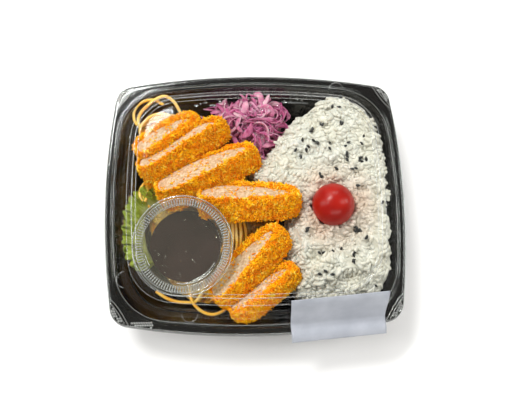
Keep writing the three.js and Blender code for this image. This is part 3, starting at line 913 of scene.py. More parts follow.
# Cutlets. A thin pork loin steak, pressed flat, coated with coarse breadcrumbs and deep-fried,
# then cut crosswise. The slices lean on each other with one cut face up, the meat showing.
BLUNTNESS = 2.7  # exponent of the superellipse that a slice's outline follows
MEAT_TAPER = 0.38
MEAT_SHORTER = 8.0
MEAT_SHIFT = -2.3
MEAT_LOWER = 1.6
CRUMBS_OUT = 1.0  # how far the crumbs stand out past the cut meat's batter
COAT_LOWER = 0.75  # how much more coat a slice has below its meat than above
SHARD_APART = 0.72
# Each slice: its middle, length and width, its heading, lean and rise in degrees, how far it bends,
# and how thick it and its meat are. Its coat thins by the last number toward the far end.
SLICES = {
    "slice_a": ((-57.6, 43.2, 30.7), 47, 16, (33, 38, 0), 2, 19.0, 12.5, 0.15),
    "slice_b": ((-47.7, 35.2, 33.5), 64, 17, (32, 40, 0), 4, 17.0, 14.5, 0.2),
    "slice_c": ((-31.4, 17.5, 34.7), 70, 17, (25, 42, 0), 2, 19.0, 17.5, 0.2),
    "slice_d": ((-4.3, -1.7, 38.4), 65, 16, (-2, 45, 3), 1, 18.5, 14.5, 0.1),
    "slice_e": ((-4.5, -42.6, 32.8), 62, 17, (46, 43, 6), 1, 18.5, 14.0, 0.1),
    "slice_f": ((4.2, -59, 31.2), 50, 13, (34, 42, 4), 1, 16.5, 10.5, 0.1),
}
SHARDS_PER_SLICE = 2600

fried_crumb, tree, coords = new_material("fried_breadcrumb_golden")
# Dry, oily bread shards fried golden. The coat keeps their golden tone but is painted deeper orange
# than the loose shards, and darkest at its cell edges, as shade in the gaps between crumbs. Its
# paler cell middles are painted light on the crumb tips.
crumb_cells = add_node(tree, "TexVoronoi", {"Scale": per(1.1)}, {"Vector": coords})
crumb_grit = add_node(tree, "TexNoise", {"Scale": per(0.5), "Detail": 3.0}, {"Vector": coords})
browning = add_node(tree, "TexNoise", {"Scale": per(9), "Detail": 2.0}, {"Vector": coords})
# Paler cell middles paint light on the crumb tips, and deep orange cell edges paint shade in the
# gaps.
golden = add_node(
    tree,
    "ValToRGB",
    {"stops": [(0.1, "#ffbc0a"), (0.45, "#f6a200"), (0.75, "#dc8400")]},
    {"Fac": crumb_cells},
)
browned = add_node(
    tree,
    "Mix",
    {"data_type": "RGBA", "blend_type": "MULTIPLY", 7: linear("#fadca0")},
    {0: browning, 6: golden},
)
gritty = add_node(tree, "Bump", {"Strength": 0.8, "Distance": 0.0006}, {"Height": crumb_grit})
shader = add_node(
    tree,
    "BsdfPrincipled",
    {
        "Roughness": 0.75,
        "IOR": 1.3,
        "Specular IOR Level": 0.2,
        "Subsurface Weight": 0.15,
        "Subsurface Radius": (1.0, 0.6, 0.2),
        "Subsurface Scale": 0.0008,
    },
    {"Base Color": browned.outputs[2], "Normal": gritty},
)
add_node(tree, "OutputMaterial", None, {"Surface": shader})

crumb_shard, tree, coords = new_material("fried_breadcrumb_shards")
# The loose shards take the heat first: each has its own tone, from straw yellow to orange.
island = add_node(tree, "NewGeometry").outputs["Random Per Island"]
grit = add_node(tree, "TexNoise", {"Scale": per(5), "Detail": 3.0}, {"Vector": coords})
tone = add_node(
    tree,
    "ValToRGB",
    {"stops": [(0.0, "#fa9e00"), (0.3, "#ffb200"), (0.75, "#ffc616"), (1.0, "#ffdc58")]},
    {"Fac": island},
)
patches = add_node(tree, "MapRange", {"From Min": 0.38, "From Max": 0.64}, {"Value": grit})
patchy = add_node(
    tree,
    "Mix",
    {"data_type": "RGBA", "blend_type": "MULTIPLY", 7: linear("#f2c688")},
    {0: patches, 6: tone},
)
shader = add_node(
    tree,
    "BsdfPrincipled",
    {
        "Roughness": 0.65,
        "IOR": 1.3,
        "Specular IOR Level": 0.25,
        "Subsurface Weight": 0.15,
        "Subsurface Radius": (1.0, 0.6, 0.2),
        "Subsurface Scale": 0.0008,
    },
    {"Base Color": patchy.outputs[2]},
)
add_node(tree, "OutputMaterial", None, {"Surface": shader})

pork_loin, tree, coords = new_material("pork_loin_cooked_cut")
# Cooked lean meat cut across its grain: pale pinkish beige with short fibres and a moist shine.
fibres = add_node(tree, "TexNoise", {"Scale": per(1.6), "Detail": 5.0}, {"Vector": coords})
marbling = add_node(tree, "TexNoise", {"Scale": per(7), "Detail": 2.0}, {"Vector": coords})
flesh = add_node(
    tree,
    "ValToRGB",
    {"stops": [(0.3, "#b39473"), (0.5, "#ceb699"), (0.68, "#e3d5c1")]},
    {"Fac": fibres},
)
blushed = add_node(
    tree,
    "Mix",
    {"data_type": "RGBA", "blend_type": "MULTIPLY", 7: linear("#f5dcc4")},
    {0: marbling, 6: flesh},
)
stringy = add_node(tree, "Bump", {"Strength": 0.5, "Distance": 0.0005}, {"Height": fibres})
shader = add_node(
    tree,
    "BsdfPrincipled",
    {
        "Roughness": 0.42,
        "Subsurface Weight": 0.2,
        "Subsurface Radius": (1.0, 0.5, 0.35),
        "Subsurface Scale": 0.0012,
    },
    {"Base Color": blushed.outputs[2], "Normal": stringy},
)
add_node(tree, "OutputMaterial", None, {"Surface": shader})


def slice_outline(length, thick, taper, bend, shift, steps):
    """Outline of a slice's cut face, or of the meat in it, bent and thinner at its far end."""
    outline = []
    for i in range(steps):
        turn = 2 * math.pi * i / steps
        u = math.copysign(abs(math.cos(turn)) ** (2 / BLUNTNESS), math.cos(turn))
        v = math.copysign(abs(math.sin(turn)) ** (2 / BLUNTNESS), math.sin(turn))
        y = v * thick * (1 - taper * u) / 2 + bend * (0.5 - u * u)
        outline.append(Vector((u * length / 2 + shift[0], y + shift[1], 0)))
    return outline


shard_places = []
crumb_places = []
dice = random.Random(31)
for name, (at, length, width, turns, bend, thick, meat_thick, taper) in SLICES.items():
    heading, lean, rise = (math.radians(turn) for turn in turns)
    place = (
        Matrix.Translation(at)
        @ Matrix.Rotation(heading, 4, "Z")
        @ Matrix.Rotation(-rise, 4, "Y")
        @ Matrix.Rotation(-lean, 4, "X")
    )
    half = width / 2
    steps = 220
    meat_at = (MEAT_SHIFT, -MEAT_LOWER)
    coat_thick = thick + 2 * COAT_LOWER + CRUMBS_OUT
    outside = slice_outline(length, coat_thick, taper, bend, (0, -COAT_LOWER), steps)
    inside = slice_outline(length - MEAT_SHORTER, meat_thick, MEAT_TAPER, bend, meat_at, steps)
    # The coat goes round as a band: out over one cut edge, across the crust, in over the other.
    # Each row says how much of the way in to the meat it lies, and how high.
    band = [(1.0, 0.2 - half), (0.6, -half), (0.25, -half), (0.06, 0.4 - half)]
    across = [1 - half + i * (width - 2) / 20 for i in range(21)]
    band += [(0.24 * abs(z / half) ** 3 - 0.04, z) for z in across]
    band += [(0.22, half), (0.28, half + 0.4), (0.36, half + 0.6), (0.46, half + 0.6)]
    band += [(0.6, half + 0.5), (0.8, half + 0.1), (1.0, half - 0.4), (1.1, 0.0)]
    rings = [
        [(*outer.lerp(inner, inward).xy, z) for outer, inner in zip(outside, inside)]
        for inward, z in band
    ]
    coat = bmesh.new()
    walk_rings(coat, rings, closed=True)
    bmesh.ops.recalc_face_normals(coat, faces=coat.faces)
    coat.transform(place)
    coat.normal_update()
    for vert in coat.verts:
        lumps = 0.9 * noise.noise(vert.co / 8) + 0.9 * noise.noise(vert.co / 3.2)
        vert.co += vert.normal * (lumps + 0.9 * noise.noise(vert.co / 1.3) - 0.1)
    coat.normal_update()
    middle = Vector(at)
    coat_low = (TO_FRAME.inverted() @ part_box(name + "_coat")[0]).z

    def outward(spot, normal):
        return (spot - middle).dot(normal) > 0 and spot.z > coat_low + 3 and normal.z > -0.5

    for spot, normal in spread(coat, SHARDS_PER_SLICE, SHARD_APART, dice, outward):
        size = dice.uniform(0.7, 1.6)
        shard_places.append(
            laid(
                spot + normal * dice.uniform(0.0, 0.8),
                normal,
                dice.uniform(0, 2 * math.pi),
                dice.uniform(-1.3, 0.0),
                dice.uniform(0, math.pi),
                (size, size * dice.uniform(0.7, 1.1), size * dice.uniform(0.5, 0.9)),
            )
        )
    add_piece(name + "_crust", coat, fried_crumb, [name + "_coat"])

    # The meat stands a little proud of the cut, domed where its fibres relax.
    meat = bmesh.new()
    edge = slice_outline(length - MEAT_SHORTER, meat_thick, MEAT_TAPER, bend, meat_at, 140)
    heart = Vector((MEAT_SHIFT, bend / 2 - MEAT_LOWER, 0))
    shares = [0.04, 0.15, 0.28, 0.4, 0.52, 0.64, 0.75, 0.84, 0.91, 0.96, 0.99, 1.0]
    domes = [(share, half - 0.7 + 0.9 * (1 - share**4)) for share in shares]
    levels = domes + [(1.0, half - 0.9 - i * (width - 1.8) / 6) for i in range(7)]
    levels += [(share, -z) for share, z in reversed(domes)]
    rings = [[(*heart.lerp(point, share).xy, z) for point in edge] for share, z in levels]
    last = walk_rings(meat, rings)
    bmesh.ops.contextual_create(meat, geom=last)
    first = [edge for edge in meat.edges if edge.is_boundary]
    bmesh.ops.contextual_create(meat, geom=first)
    bmesh.ops.recalc_face_normals(meat, faces=meat.faces)
    for vert in meat.verts:
        strand = Vector((vert.co.x / 5, vert.co.y / 1.4, vert.co.z / 4))
        lift = 0.4 * noise.noise(strand) + 0.3 * noise.noise(vert.co / 4)
        vert.co.z += math.copysign(lift, vert.co.z)
    meat.transform(place)
    meat.normal_update()
    face_up = place.to_3x3() @ Vector((0, 0, 1))
    for spot, normal in spread(meat, 130, 0.8, dice, lambda _, normal: normal.dot(face_up) > 0.8):
        if noise.noise(spot / 6) + 0.35 * dice.random() > 0.12:
            crumb_places.append(
                laid(
                    spot + normal * 0.25,
                    normal,
                    dice.uniform(0, 2 * math.pi),
                    dice.gauss(0, 0.3),
                    dice.uniform(0, math.pi),
                    [dice.uniform(0.5, 1.0)] * 3,
                )
            )
    add_piece(name + "_pork", meat, pork_loin, [name + "_meat"])

shard = bmesh.new()
bmesh.ops.create_cone(shard, cap_ends=True, segments=4, radius1=0.68, radius2=0.25, depth=1.9)
bmesh.ops.rotate(shard, verts=shard.verts, matrix=Matrix.Rotation(math.pi / 2, 3, "Y"))
crumb = shard.copy()
shard_mesh = strewn_mesh("crumb_shards", shard, shard_places)
ride_along("crumb_shards", shard_mesh, crumb_shard)
crumb_mesh = strewn_mesh("loose_crumbs", crumb, crumb_places)
ride_along("loose_crumbs", crumb_mesh, crumb_shard)

# Lid. A clear polyester sheet drawn over a mould and pushed on over the food. A bead stiffens the
# edge of its flat panel, its wall has ridges and half-round lugs, and its corners are knurled.
LID_FOOT = (91.0, 78.5)
LID_FOOT_CORNER = 33.0
SHOULDER = (82.2, 69.4)
SHOULDER_CORNER = 29.5
PANEL = (77.3, 64.5)
PANEL_CORNER = 27.0
SHEET = 0.35  # thickness of lid and cup sheet

lid_low, lid_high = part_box("lid")
LID_TOP = lid_high.z / MM
LID_EDGE = ((lid_high.x - lid_low.x) / 2 / MM, (lid_high.y - lid_low.y) / 2 / MM)
FLANGE = lid_low.z / MM + SHEET

clear_polyester, tree, coords = new_material("clear_polyester_thermoformed")
# Clear sheet mirrors a little face on and much at a slant, and its drawn surface is faintly wavy.
waves = add_node(tree, "TexNoise", {"Scale": per(14), "Detail": 2.0}, {"Vector": coords})
wavy = add_node(tree, "Bump", {"Strength": 0.25, "Distance": 0.0006}, {"Height": waves})
facing = add_node(tree, "LayerWeight", {"Blend": 0.5}, {"Normal": wavy}).outputs["Facing"]
slant = add_node(tree, "Math", {"operation": "POWER", 1: 5.0}, {0: facing})
mirrored = add_node(tree, "MapRange", {"To Min": 0.009, "To Max": 0.13}, {"Value": slant})
through = add_node(tree, "BsdfTransparent", {"Color": linear("#fbfcfb")})
mirror = add_node(tree, "BsdfGlossy", {"Roughness": 0.09}, {"Normal": wavy})
sheet = add_node(tree, "MixShader", None, {0: mirrored, 1: through, 2: mirror})
add_node(tree, "OutputMaterial", None, {"Surface": sheet})

lid_profile = softened(
    [
        grown(LID_EDGE, EDGE_CORNER, 0.0, FLANGE - SHEET + 0.1),
        grown(LID_EDGE, EDGE_CORNER, -0.3, FLANGE + 0.5, 0.3),
        grown(LID_EDGE, EDGE_CORNER, -1.7, FLANGE + 0.6, 0.5),
        grown(LID_EDGE, EDGE_CORNER, -2.4, FLANGE, 0.4),
        grown(LID_FOOT, LID_FOOT_CORNER, 3.4, FLANGE, 0.4),
        grown(LID_FOOT, LID_FOOT_CORNER, 2.8, FLANGE + 0.6, 0.4),
        grown(LID_FOOT, LID_FOOT_CORNER, 1.8, FLANGE + 0.6, 0.4),
        grown(LID_FOOT, LID_FOOT_CORNER, 1.2, FLANGE, 0.3),
        grown(LID_FOOT, LID_FOOT_CORNER, 0.2, FLANGE, 0.6),
        grown(LID_FOOT, LID_FOOT_CORNER, -0.9, FLANGE + 3.0, 0.5),
        grown(LID_FOOT, LID_FOOT_CORNER, -2.2, FLANGE + 4.0, 0.5),
        grown(SHOULDER, SHOULDER_CORNER, 3.6, FLANGE + 8.6, 0.5),
        grown(SHOULDER, SHOULDER_CORNER, 2.4, FLANGE + 9.6, 0.5),
        grown(SHOULDER, SHOULDER_CORNER, 0.3, LID_TOP - 6.6, 0.6),
        grown(SHOULDER, SHOULDER_CORNER, -0.9, LID_TOP - 5.6, 0.8),
        grown(PANEL, PANEL_CORNER, 0.5, LID_TOP - 1.2, 0.5),
        grown(PANEL, PANEL_CORNER, -0.5, LID_TOP, 0.4),
        grown(PANEL, PANEL_CORNER, -1.3, LID_TOP, 0.4),
        grown(PANEL, PANEL_CORNER, -2.0, LID_TOP - 1.5, 0.4),
        grown(PANEL, PANEL_CORNER, -3.4, LID_TOP - 1.62),
        grown(PANEL, PANEL_CORNER, -6.0, LID_TOP - 1.2),
        grown(PANEL, PANEL_CORNER, -9.0, LID_TOP - 0.8),
        grown(PANEL, PANEL_CORNER, -13.0, LID_TOP - 0.46),
        grown(PANEL, PANEL_CORNER, -18.0, LID_TOP - 0.26),
        grown(PANEL, PANEL_CORNER, -24.0, LID_TOP - 0.2),
    ]
)
lid_steps = (22, 18, 26)
lid = bmesh.new()
last = walk_rings(
    lid,
    [
        [(x, y, z) for x, y in bowed_ring((half_width, half_depth), corner, lid_steps)]
        for half_width, half_depth, corner, z in lid_profile
    ],
)
bmesh.ops.contextual_create(lid, geom=last)
bmesh.ops.recalc_face_normals(lid, faces=lid.faces)
bmesh.ops.solidify(lid, geom=lid.faces, thickness=SHEET)
add_piece("lid_sheet", lid, clear_polyester, ["lid"], sharp=60)

# Lid bends and grips. Thin whitish lines run round its panel and foot, at its half-round lugs and
# along its knurled corners. They paint the highlights that these bends mirror. The knurls
# themselves are real bumps, and their whitening is in part a painted glint.
LUG_RADIUS = 5.0
# Each lug: its middle, and the way it faces, in degrees.
LUGS = ((-43, -73, 38, -90), (-84, -51, 38, 180), (56, 75, 38, 90))
KNURL_PITCH = 1.5
# The line that bounds the knurled grip of a corner, for the front left one; the others mirror it.
GRIP_LINE = ((97, 60.5, 0), (91.5, 64.5, 0), (87, 70, 0), (83, 76.5, 0), (79.5, 83, 0))
# The painted highlight lines along the bends: how far each lies from which outline, its height and
# its width.
BENDS = (
    (PANEL, PANEL_CORNER, 0.3, LID_TOP - 0.45, 0.45),
    (PANEL, PANEL_CORNER, -1.9, LID_TOP - 1.1, 0.35),
    (SHOULDER, SHOULDER_CORNER, -0.5, LID_TOP - 5.9, 0.3),
    (LID_FOOT, LID_FOOT_CORNER, 2.3, FLANGE + 0.45, 0.35),
    (LID_EDGE, EDGE_CORNER, -1.0, FLANGE + 0.4, 0.35),
)


def milky_sheet(name, share):
    """Clear sheet whitened by the given share, a painted glint, with a wet-looking shine mirrored
    from the lamps.
    """
    made, tree, _ = new_material(name)
    through = add_node(tree, "BsdfTransparent", {"Color": linear("#eef0ef")})
    haze = add_node(tree, "BsdfDiffuse", {"Color": linear("#cfd0ce")})
    body = add_node(tree, "MixShader", {0: share}, {1: through, 2: haze})
    mirror = add_node(tree, "BsdfGlossy", {"Roughness": 0.15})
    whole = add_node(tree, "MixShader", {0: 0.2}, {1: body, 2: mirror})
    add_node(tree, "OutputMaterial", None, {"Surface": whole})
    return made


# Whitish sheet for the painted highlight lines along the bends.
bent_polyester = milky_sheet("clear_polyester_bend_highlight", 0.22)
# The knurls are real bumps with a real shine, and their whitening is in part a painted glint.
knurled_polyester = milky_sheet("clear_polyester_knurled_glint", 0.5)


def within(x, y, ring):
    """Whether a point lies inside a closed line."""
    crossings = 0
    for (ax, ay), (bx, by) in zip(ring, ring[1:] + ring[:1]):
        if (ay > y) != (by > y) and x < ax + (y - ay) * (bx - ax) / (by - ay):
            crossings += 1
    return crossings % 2 == 1


# Thin tubes along the panel, foot, grips and lugs, whitish as painted highlight lines.
bend_lines = []
for half, corner, outward, z, size in BENDS:
    ring = bowed_ring((half[0] + outward, half[1] + outward), corner + outward, (14, 14, 16))
    bend_lines.append([(Vector((x, y, z)), 0.0, size) for x, y in ring + ring[:1]])
flange_edge = bowed_ring((LID_EDGE[0] - 1.0, LID_EDGE[1] - 1.0), EDGE_CORNER - 1, (14, 14, 16))
for side_x, side_y in ((-1, -1), (-1, 1), (1, -1), (1, 1)):
    for outward in (0, 1.3):
        line = [point + Vector((outward, outward, 0)) for point in smooth_line(GRIP_LINE, 0.8)]
        bend_lines.append(
            [
                (Vector((side_x * point.x, side_y * point.y, FLANGE + 0.9)), 0.0, 0.55)
                for point in line
                if within(point.x, point.y, flange_edge)
            ]
        )
for x, y, z, outward in LUGS:
    turns = [math.radians(outward - 90 + 15 * i) for i in range(13)]
    arc = [Vector((x + LUG_RADIUS * math.cos(t), y + LUG_RADIUS * math.sin(t), z)) for t in turns]
    bend_lines.append([(point, 0.0, 0.35) for point in arc])
bend_mesh = strand_mesh("lid_bend_highlights", bend_lines, 1.0, 1.0, 6)
ride_along("lid_bend_highlights", bend_mesh, bent_polyester)

grip_edge = bowed_ring((LID_EDGE[0] - 1.6, LID_EDGE[1] - 1.6), EDGE_CORNER - 1.6, (14, 14, 16))
grip_bound = [(x + 1.9, y + 1.9) for x, y, _ in GRIP_LINE]
grip_area = [(120, grip_bound[0][1])] + grip_bound + [(grip_bound[-1][0], 120), (120, 120)]
knurl_places = []
for i in range(-70, 70):
    for j in range(-62, 62):
        x, y = (i + 0.5 * (j % 2)) * KNURL_PITCH, j * KNURL_PITCH
        at_corner = within(abs(x), abs(y), grip_area)
        at_patch = -80 < x < -66 and -81.5 < y < -77
        if (at_corner or at_patch) and within(x, y, grip_edge):
            knurl_places.append(Matrix.Translation((x, y, FLANGE + 0.35)))
knurl = bmesh.new()
bmesh.ops.create_cone(knurl, cap_ends=True, segments=4, radius1=0.85, radius2=0.3, depth=0.7)
knurl_mesh = strewn_mesh("lid_knurls", knurl, knurl_places)
knurl_mesh.shade_flat()
ride_along("lid_knurls", knurl_mesh, knurled_polyester)

# Label. A blank sticker of coated paper, stuck over the front of the lid's shoulder, wall and
# flange. It was stuck on by hand, so it sits a little askew, and its free end stands past the tray.
LABEL_WIDTH = 60.5
LABEL_THICK = 0.2
LABEL_TURN = 4.5
LABEL_X = 49.0
LABEL_LINE = (
    (1.6, LID_TOP - 1.0),
    (5.6, LID_TOP - 5.1),
    (14.4, RIM + 3.9),
    (18.0, RIM + 1.6),
    (23.6, RIM + 1.4),
    (27.4, RIM - 0.6),
)

coated_paper, tree, coords = new_material("coated_paper_calendered")
# Smooth white stock under a thin satin coat; its fibres show as faint clouds.
clouds = add_node(tree, "TexNoise", {"Scale": per(12), "Detail": 3.0}, {"Vector": coords})
fibres = add_node(tree, "TexNoise", {"Scale": per(0.5), "Detail": 4.0}, {"Vector": coords})
stock = add_node(tree, "ValToRGB", {"stops": [(0.3, "#999da6"), (0.7, "#abafb7")]}, {"Fac": clouds})
tooth = add_node(tree, "Bump", {"Strength": 0.2, "Distance": 0.00005}, {"Height": fibres})
shader = add_node(
    tree, "BsdfPrincipled", {"Roughness": 0.55, "IOR": 1.5}, {"Base Color": stock, "Normal": tooth}
)
add_node(tree, "OutputMaterial", None, {"Surface": shader})


label = bmesh.new()
label_line = smooth_line([(out, z) for out, z in LABEL_LINE], 1.0)
bmesh.ops.create_grid(label, x_segments=40, y_segments=len(label_line) - 1, size=0.5)
askew = Matrix.Translation((LABEL_X, 1.9 - PANEL[1], 0)) @ Matrix.Rotation(
    math.radians(LABEL_TURN), 4, "Z"
)
for vert in label.verts:
    out, z = label_line[round((0.5 - vert.co.y) * (len(label_line) - 1))]
    lift = 0.25 * noise.noise((vert.co.x * 5, out / 6, 0))
    place = askew @ Vector((vert.co.x * LABEL_WIDTH, -out, z + 0.1 + max(0, lift)))
    vert.co = place
bmesh.ops.solidify(label, geom=label.faces, thickness=-LABEL_THICK)
bmesh.ops.recalc_face_normals(label, faces=label.faces)
add_piece("label_sticker", label, coated_paper, ["label"])

# Sauce cup. A small clear polypropylene cup, leaning a little to the front on the noodles, filled
# with thick brown sauce whose surface stays level.
CUP_TILT = 9.0
CUP_FOOT = (-46.7, -27, 20)
SAUCE_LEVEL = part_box("sauce")[1].z / MM
CUP_PLACE = Matrix.Translation(CUP_FOOT) @ Matrix.Rotation(math.radians(CUP_TILT), 4, "X")

moulded_cup, tree, coords = new_material("clear_polypropylene_moulded")
# Clear but a little milky, most where it is seen edge on, and smooth enough to mirror the lamps.
facing = add_node(tree, "LayerWeight", {"Blend": 0.5}).outputs["Facing"]
edge_on = add_node(tree, "Math", {"operation": "POWER", 1: 4.0}, {0: facing})
milk = add_node(tree, "MapRange", {"To Min": 0.03, "To Max": 0.24}, {"Value": edge_on})
slant = add_node(tree, "Math", {"operation": "POWER", 1: 5.0}, {0: facing})
mirrored = add_node(tree, "MapRange", {"To Min": 0.02, "To Max": 0.4}, {"Value": slant})
through = add_node(tree, "BsdfTransparent", {"Color": linear("#f8f7f2")})
haze = add_node(tree, "BsdfDiffuse", {"Color": linear("#c9c5ba")})
body = add_node(tree, "MixShader", None, {0: milk, 1: through, 2: haze})
mirror = add_node(tree, "BsdfGlossy", {"Roughness": 0.07})
cup_sheet = add_node(tree, "MixShader", None, {0: mirrored, 1: body, 2: mirror})
add_node(tree, "OutputMaterial", None, {"Surface": cup_sheet})


def turned(profile, steps):
    """A skin turned round the upright axis from (radius, height) points."""
    bm = bmesh.new()
    verts = [bm.verts.new((radius, 0, z)) for radius, z in profile]
    edges = [bm.edges.new(pair) for pair in zip(verts, verts[1:])]
    bmesh.ops.spin(
        bm,
        geom=verts + edges,
        cent=(0, 0, 0),
        axis=(0, 0, 1),
        angle=2 * math.pi,
        steps=steps,
        use_merge=True,
    )
    bmesh.ops.remove_doubles(bm, verts=bm.verts, dist=1e-4)
    bmesh.ops.recalc_face_normals(bm, faces=bm.faces)
    return bm


cup_profile = softened(
    [
        (0.0, 0.9, 0),
        (17.0, 0.9, 1.0),
        (20.6, 0.0, 0.6),
        (22.3, 0.0, 0.7),
        (28.3, 27.0, 0.8),
        (28.5, 27.9, 0.3),
        (29.9, 27.9, 0.3),
        (30.0, 29.0, 0),
    ]
)
cup = turned(cup_profile, 120)
bmesh.ops.solidify(cup, geom=cup.faces, thickness=SHEET)
cup.transform(CUP_PLACE)
add_piece("cup_body", cup, moulded_cup, ["cup"], sharp=60)

brown_sauce, tree, coords = new_material("brown_fruit_sauce_thick")
# Thick, smooth, nearly black brown, and glossy as glass.
swirl = add_node(tree, "TexNoise", {"Scale": per(16), "Detail": 2.0}, {"Vector": coords})
brown = add_node(tree, "ValToRGB", {"stops": [(0.3, "#2f2122"), (0.7, "#3b2b2d")]}, {"Fac": swirl})
shader = add_node(tree, "BsdfPrincipled", {"Roughness": 0.12, "IOR": 1.4}, {"Base Color": brown})
add_node(tree, "OutputMaterial", None, {"Surface": shader})

SAUCE_INTO_WALL = 0.15
wall_inside = SHEET - SAUCE_INTO_WALL
sauce = turned(
    [(0.0, 1.1), (17.0, 1.1), (21.0, 0.6), (22.2 - wall_inside, 1.0), (28.3 - wall_inside, 27.0)]
    + [(0.0, 27.0)],
    120,
)
sauce.transform(CUP_PLACE)
cut = bmesh.ops.bisect_plane(
    sauce,
    geom=sauce.verts[:] + sauce.edges[:] + sauce.faces[:],
    plane_co=(0, 0, SAUCE_LEVEL),
    plane_no=(0, 0, 1),
    clear_outer=True,
)
rim_edges = [part for part in cut["geom_cut"] if isinstance(part, bmesh.types.BMEdge)]
surface = bmesh.ops.contextual_create(sauce, geom=rim_edges)["faces"]
bmesh.ops.recalc_face_normals(sauce, faces=sauce.faces)
bmesh.ops.inset_region(sauce, faces=surface, thickness=1.1, use_even_offset=True)
bmesh.ops.translate(
    sauce, verts=list({vert for face in surface for vert in face.verts}), vec=(0, 0, -0.35)
)
add_piece("sauce_fill", sauce, brown_sauce, ["sauce"], sharp=40)

# Cup lid. Clear sheet pushed over the cup's rim: a sunk panel, two steps, a smooth shoulder and a
# skirt. Two rows of fine radial bars on the steps grip the next cup in a stack.
CUP_LID_STEPS = 240
# Each row: radius, height in the cup's own frame, and how far its corner is rounded.
CUP_LID_ROWS = (
    (31.2, 26.3, 0),
    (31.1, 29.2, 0.5),
    (30.6, 30.0, 0.4),
    (29.4, 30.0, 0.3),
    (28.6, 29.4, 0),
    (28.5, 29.2, 0),
    (27.3, 28.9, 0),
    (27.2, 28.6, 0),
    (26.9, 28.5, 0),
    (26.8, 28.3, 0),
    (25.7, 27.9, 0),
    (25.6, 27.7, 0),
    (25.2, 27.3, 0.2),
    (24.2, 27.2, 0),
    (23.8, 27.3, 0),
    (6.0, 27.3, 0),
)
cup_lid = bmesh.new()
turns = [2 * math.pi * i / CUP_LID_STEPS for i in range(CUP_LID_STEPS)]
rings = [
    [(radius * math.cos(turn), radius * math.sin(turn), z) for turn in turns]
    for radius, z in softened(CUP_LID_ROWS)
]
last = walk_rings(cup_lid, rings)
bmesh.ops.contextual_create(cup_lid, geom=last)
bmesh.ops.recalc_face_normals(cup_lid, faces=cup_lid.faces)
bmesh.ops.solidify(cup_lid, geom=cup_lid.faces, thickness=SHEET)
cup_lid.transform(CUP_PLACE)
add_piece("cup_lid_sheet", cup_lid, moulded_cup, ["cup_lid"], sharp=40)

BAR_ROWS = ((28.0, 29.2), (26.3, 28.2))  # radius and height of each row of bars
BARS = 104
BAR = (1.5, 0.8, 0.5)
bar_places = []
for radius, z in BAR_ROWS:
    for i in range(BARS):
        bar_places.append(
            CUP_PLACE
            @ Matrix.Rotation(2 * math.pi * i / BARS, 4, "Z")
            @ Matrix.Translation((radius, 0, z))
        )
bar = bmesh.new()
bmesh.ops.create_cube(bar, size=1.0)
bmesh.ops.scale(bar, verts=bar.verts, vec=BAR)
bar_mesh = strewn_mesh("cup_lid_bars", bar, bar_places)
bar_mesh.shade_flat()
# The bars are real with a real shine, and their whitening is in part a painted glint.
ribbed_sheet = milky_sheet("clear_polypropylene_ribbed_glint", 0.6)
ride_along("cup_lid_bars", bar_mesh, ribbed_sheet)
# Painted highlights: bright whitish lines round the lid's bends, and short arcs in its recess that
# paint a lamp's reflection there. Each: radius, height, thickness, where it starts and stops in
# radians, and its number of steps.
CUP_LID_BENDS = (
    (30.9, 29.8, 0.8, 0, 2 * math.pi, 96),
    (29.2, 30.1, 0.45, 0, 2 * math.pi, 96),
    (25.2, 27.6, 0.5, 0, 2 * math.pi, 96),
    (23.6, 27.5, 0.9, -1.75, -0.75, 16),
    (22.3, 27.5, 0.9, -1.3, -0.5, 16),
    (24.0, 27.5, 0.9, -2.95, -2.6, 16),
)
# The bends and arcs as thin whitish tubes: painted highlights.
ring_lines = []
for radius, z, size, start, stop, count in CUP_LID_BENDS:
    turns = [start + (stop - start) * i / count for i in range(count + 1)]
    arc = [CUP_PLACE @ Vector((radius * math.cos(t), radius * math.sin(t), z)) for t in turns]
    ring_lines.append([(point, 0.0, size) for point in arc])
ring_mesh = strand_mesh("cup_lid_bend_highlights", ring_lines, 1.0, 1.0, 6)
ride_along("cup_lid_bend_highlights", ring_mesh, bent_polyester)

# Condensed steam. Beads of water hang under the cup's lid and under the back of the lid's panel,
# each half a flat ball, clear, and bright where it mirrors a lamp.
DROP_RADIUS = 0.6
CUP_DROPS = 46
RECESS_RADIUS = 23.0
# Each bead under the panel: where it hangs and how wide it is.
PANEL_DROPS = (
    ((-38, 58, 2.6), (-35, 59, 1.6), (-32, 60, 2.2), (-29, 58, 1.4), (-27, 58, 2.4))
    + ((-23, 61, 2.0), (-20, 59, 1.3), (-3, 58, 1.8), (1, 56, 1.3), (4, 55, 2.4), (8, 57, 1.4))
    + ((14, 58, 1.5), (19, 60, 2.2), (23, 61, 1.3), (27, 62, 2.4), (30, 61, 1.8))
)

clear_water, tree, coords = new_material("water_drop_condensed")
# Clear beads of water; each mirrors the lamps as a bright point and hides little.
facing = add_node(tree, "LayerWeight", {"Blend": 0.5}).outputs["Facing"]
slant = add_node(tree, "Math", {"operation": "POWER", 1: 3.0}, {0: facing})
mirrored = add_node(tree, "MapRange", {"To Min": 0.25, "To Max": 0.8}, {"Value": slant})
through = add_node(tree, "BsdfTransparent", {"Color": linear("#f4f6f7")})
mirror = add_node(tree, "BsdfGlossy", {"Roughness": 0.03})
bead = add_node(tree, "MixShader", None, {0: mirrored, 1: through, 2: mirror})
add_node(tree, "OutputMaterial", None, {"Surface": bead})

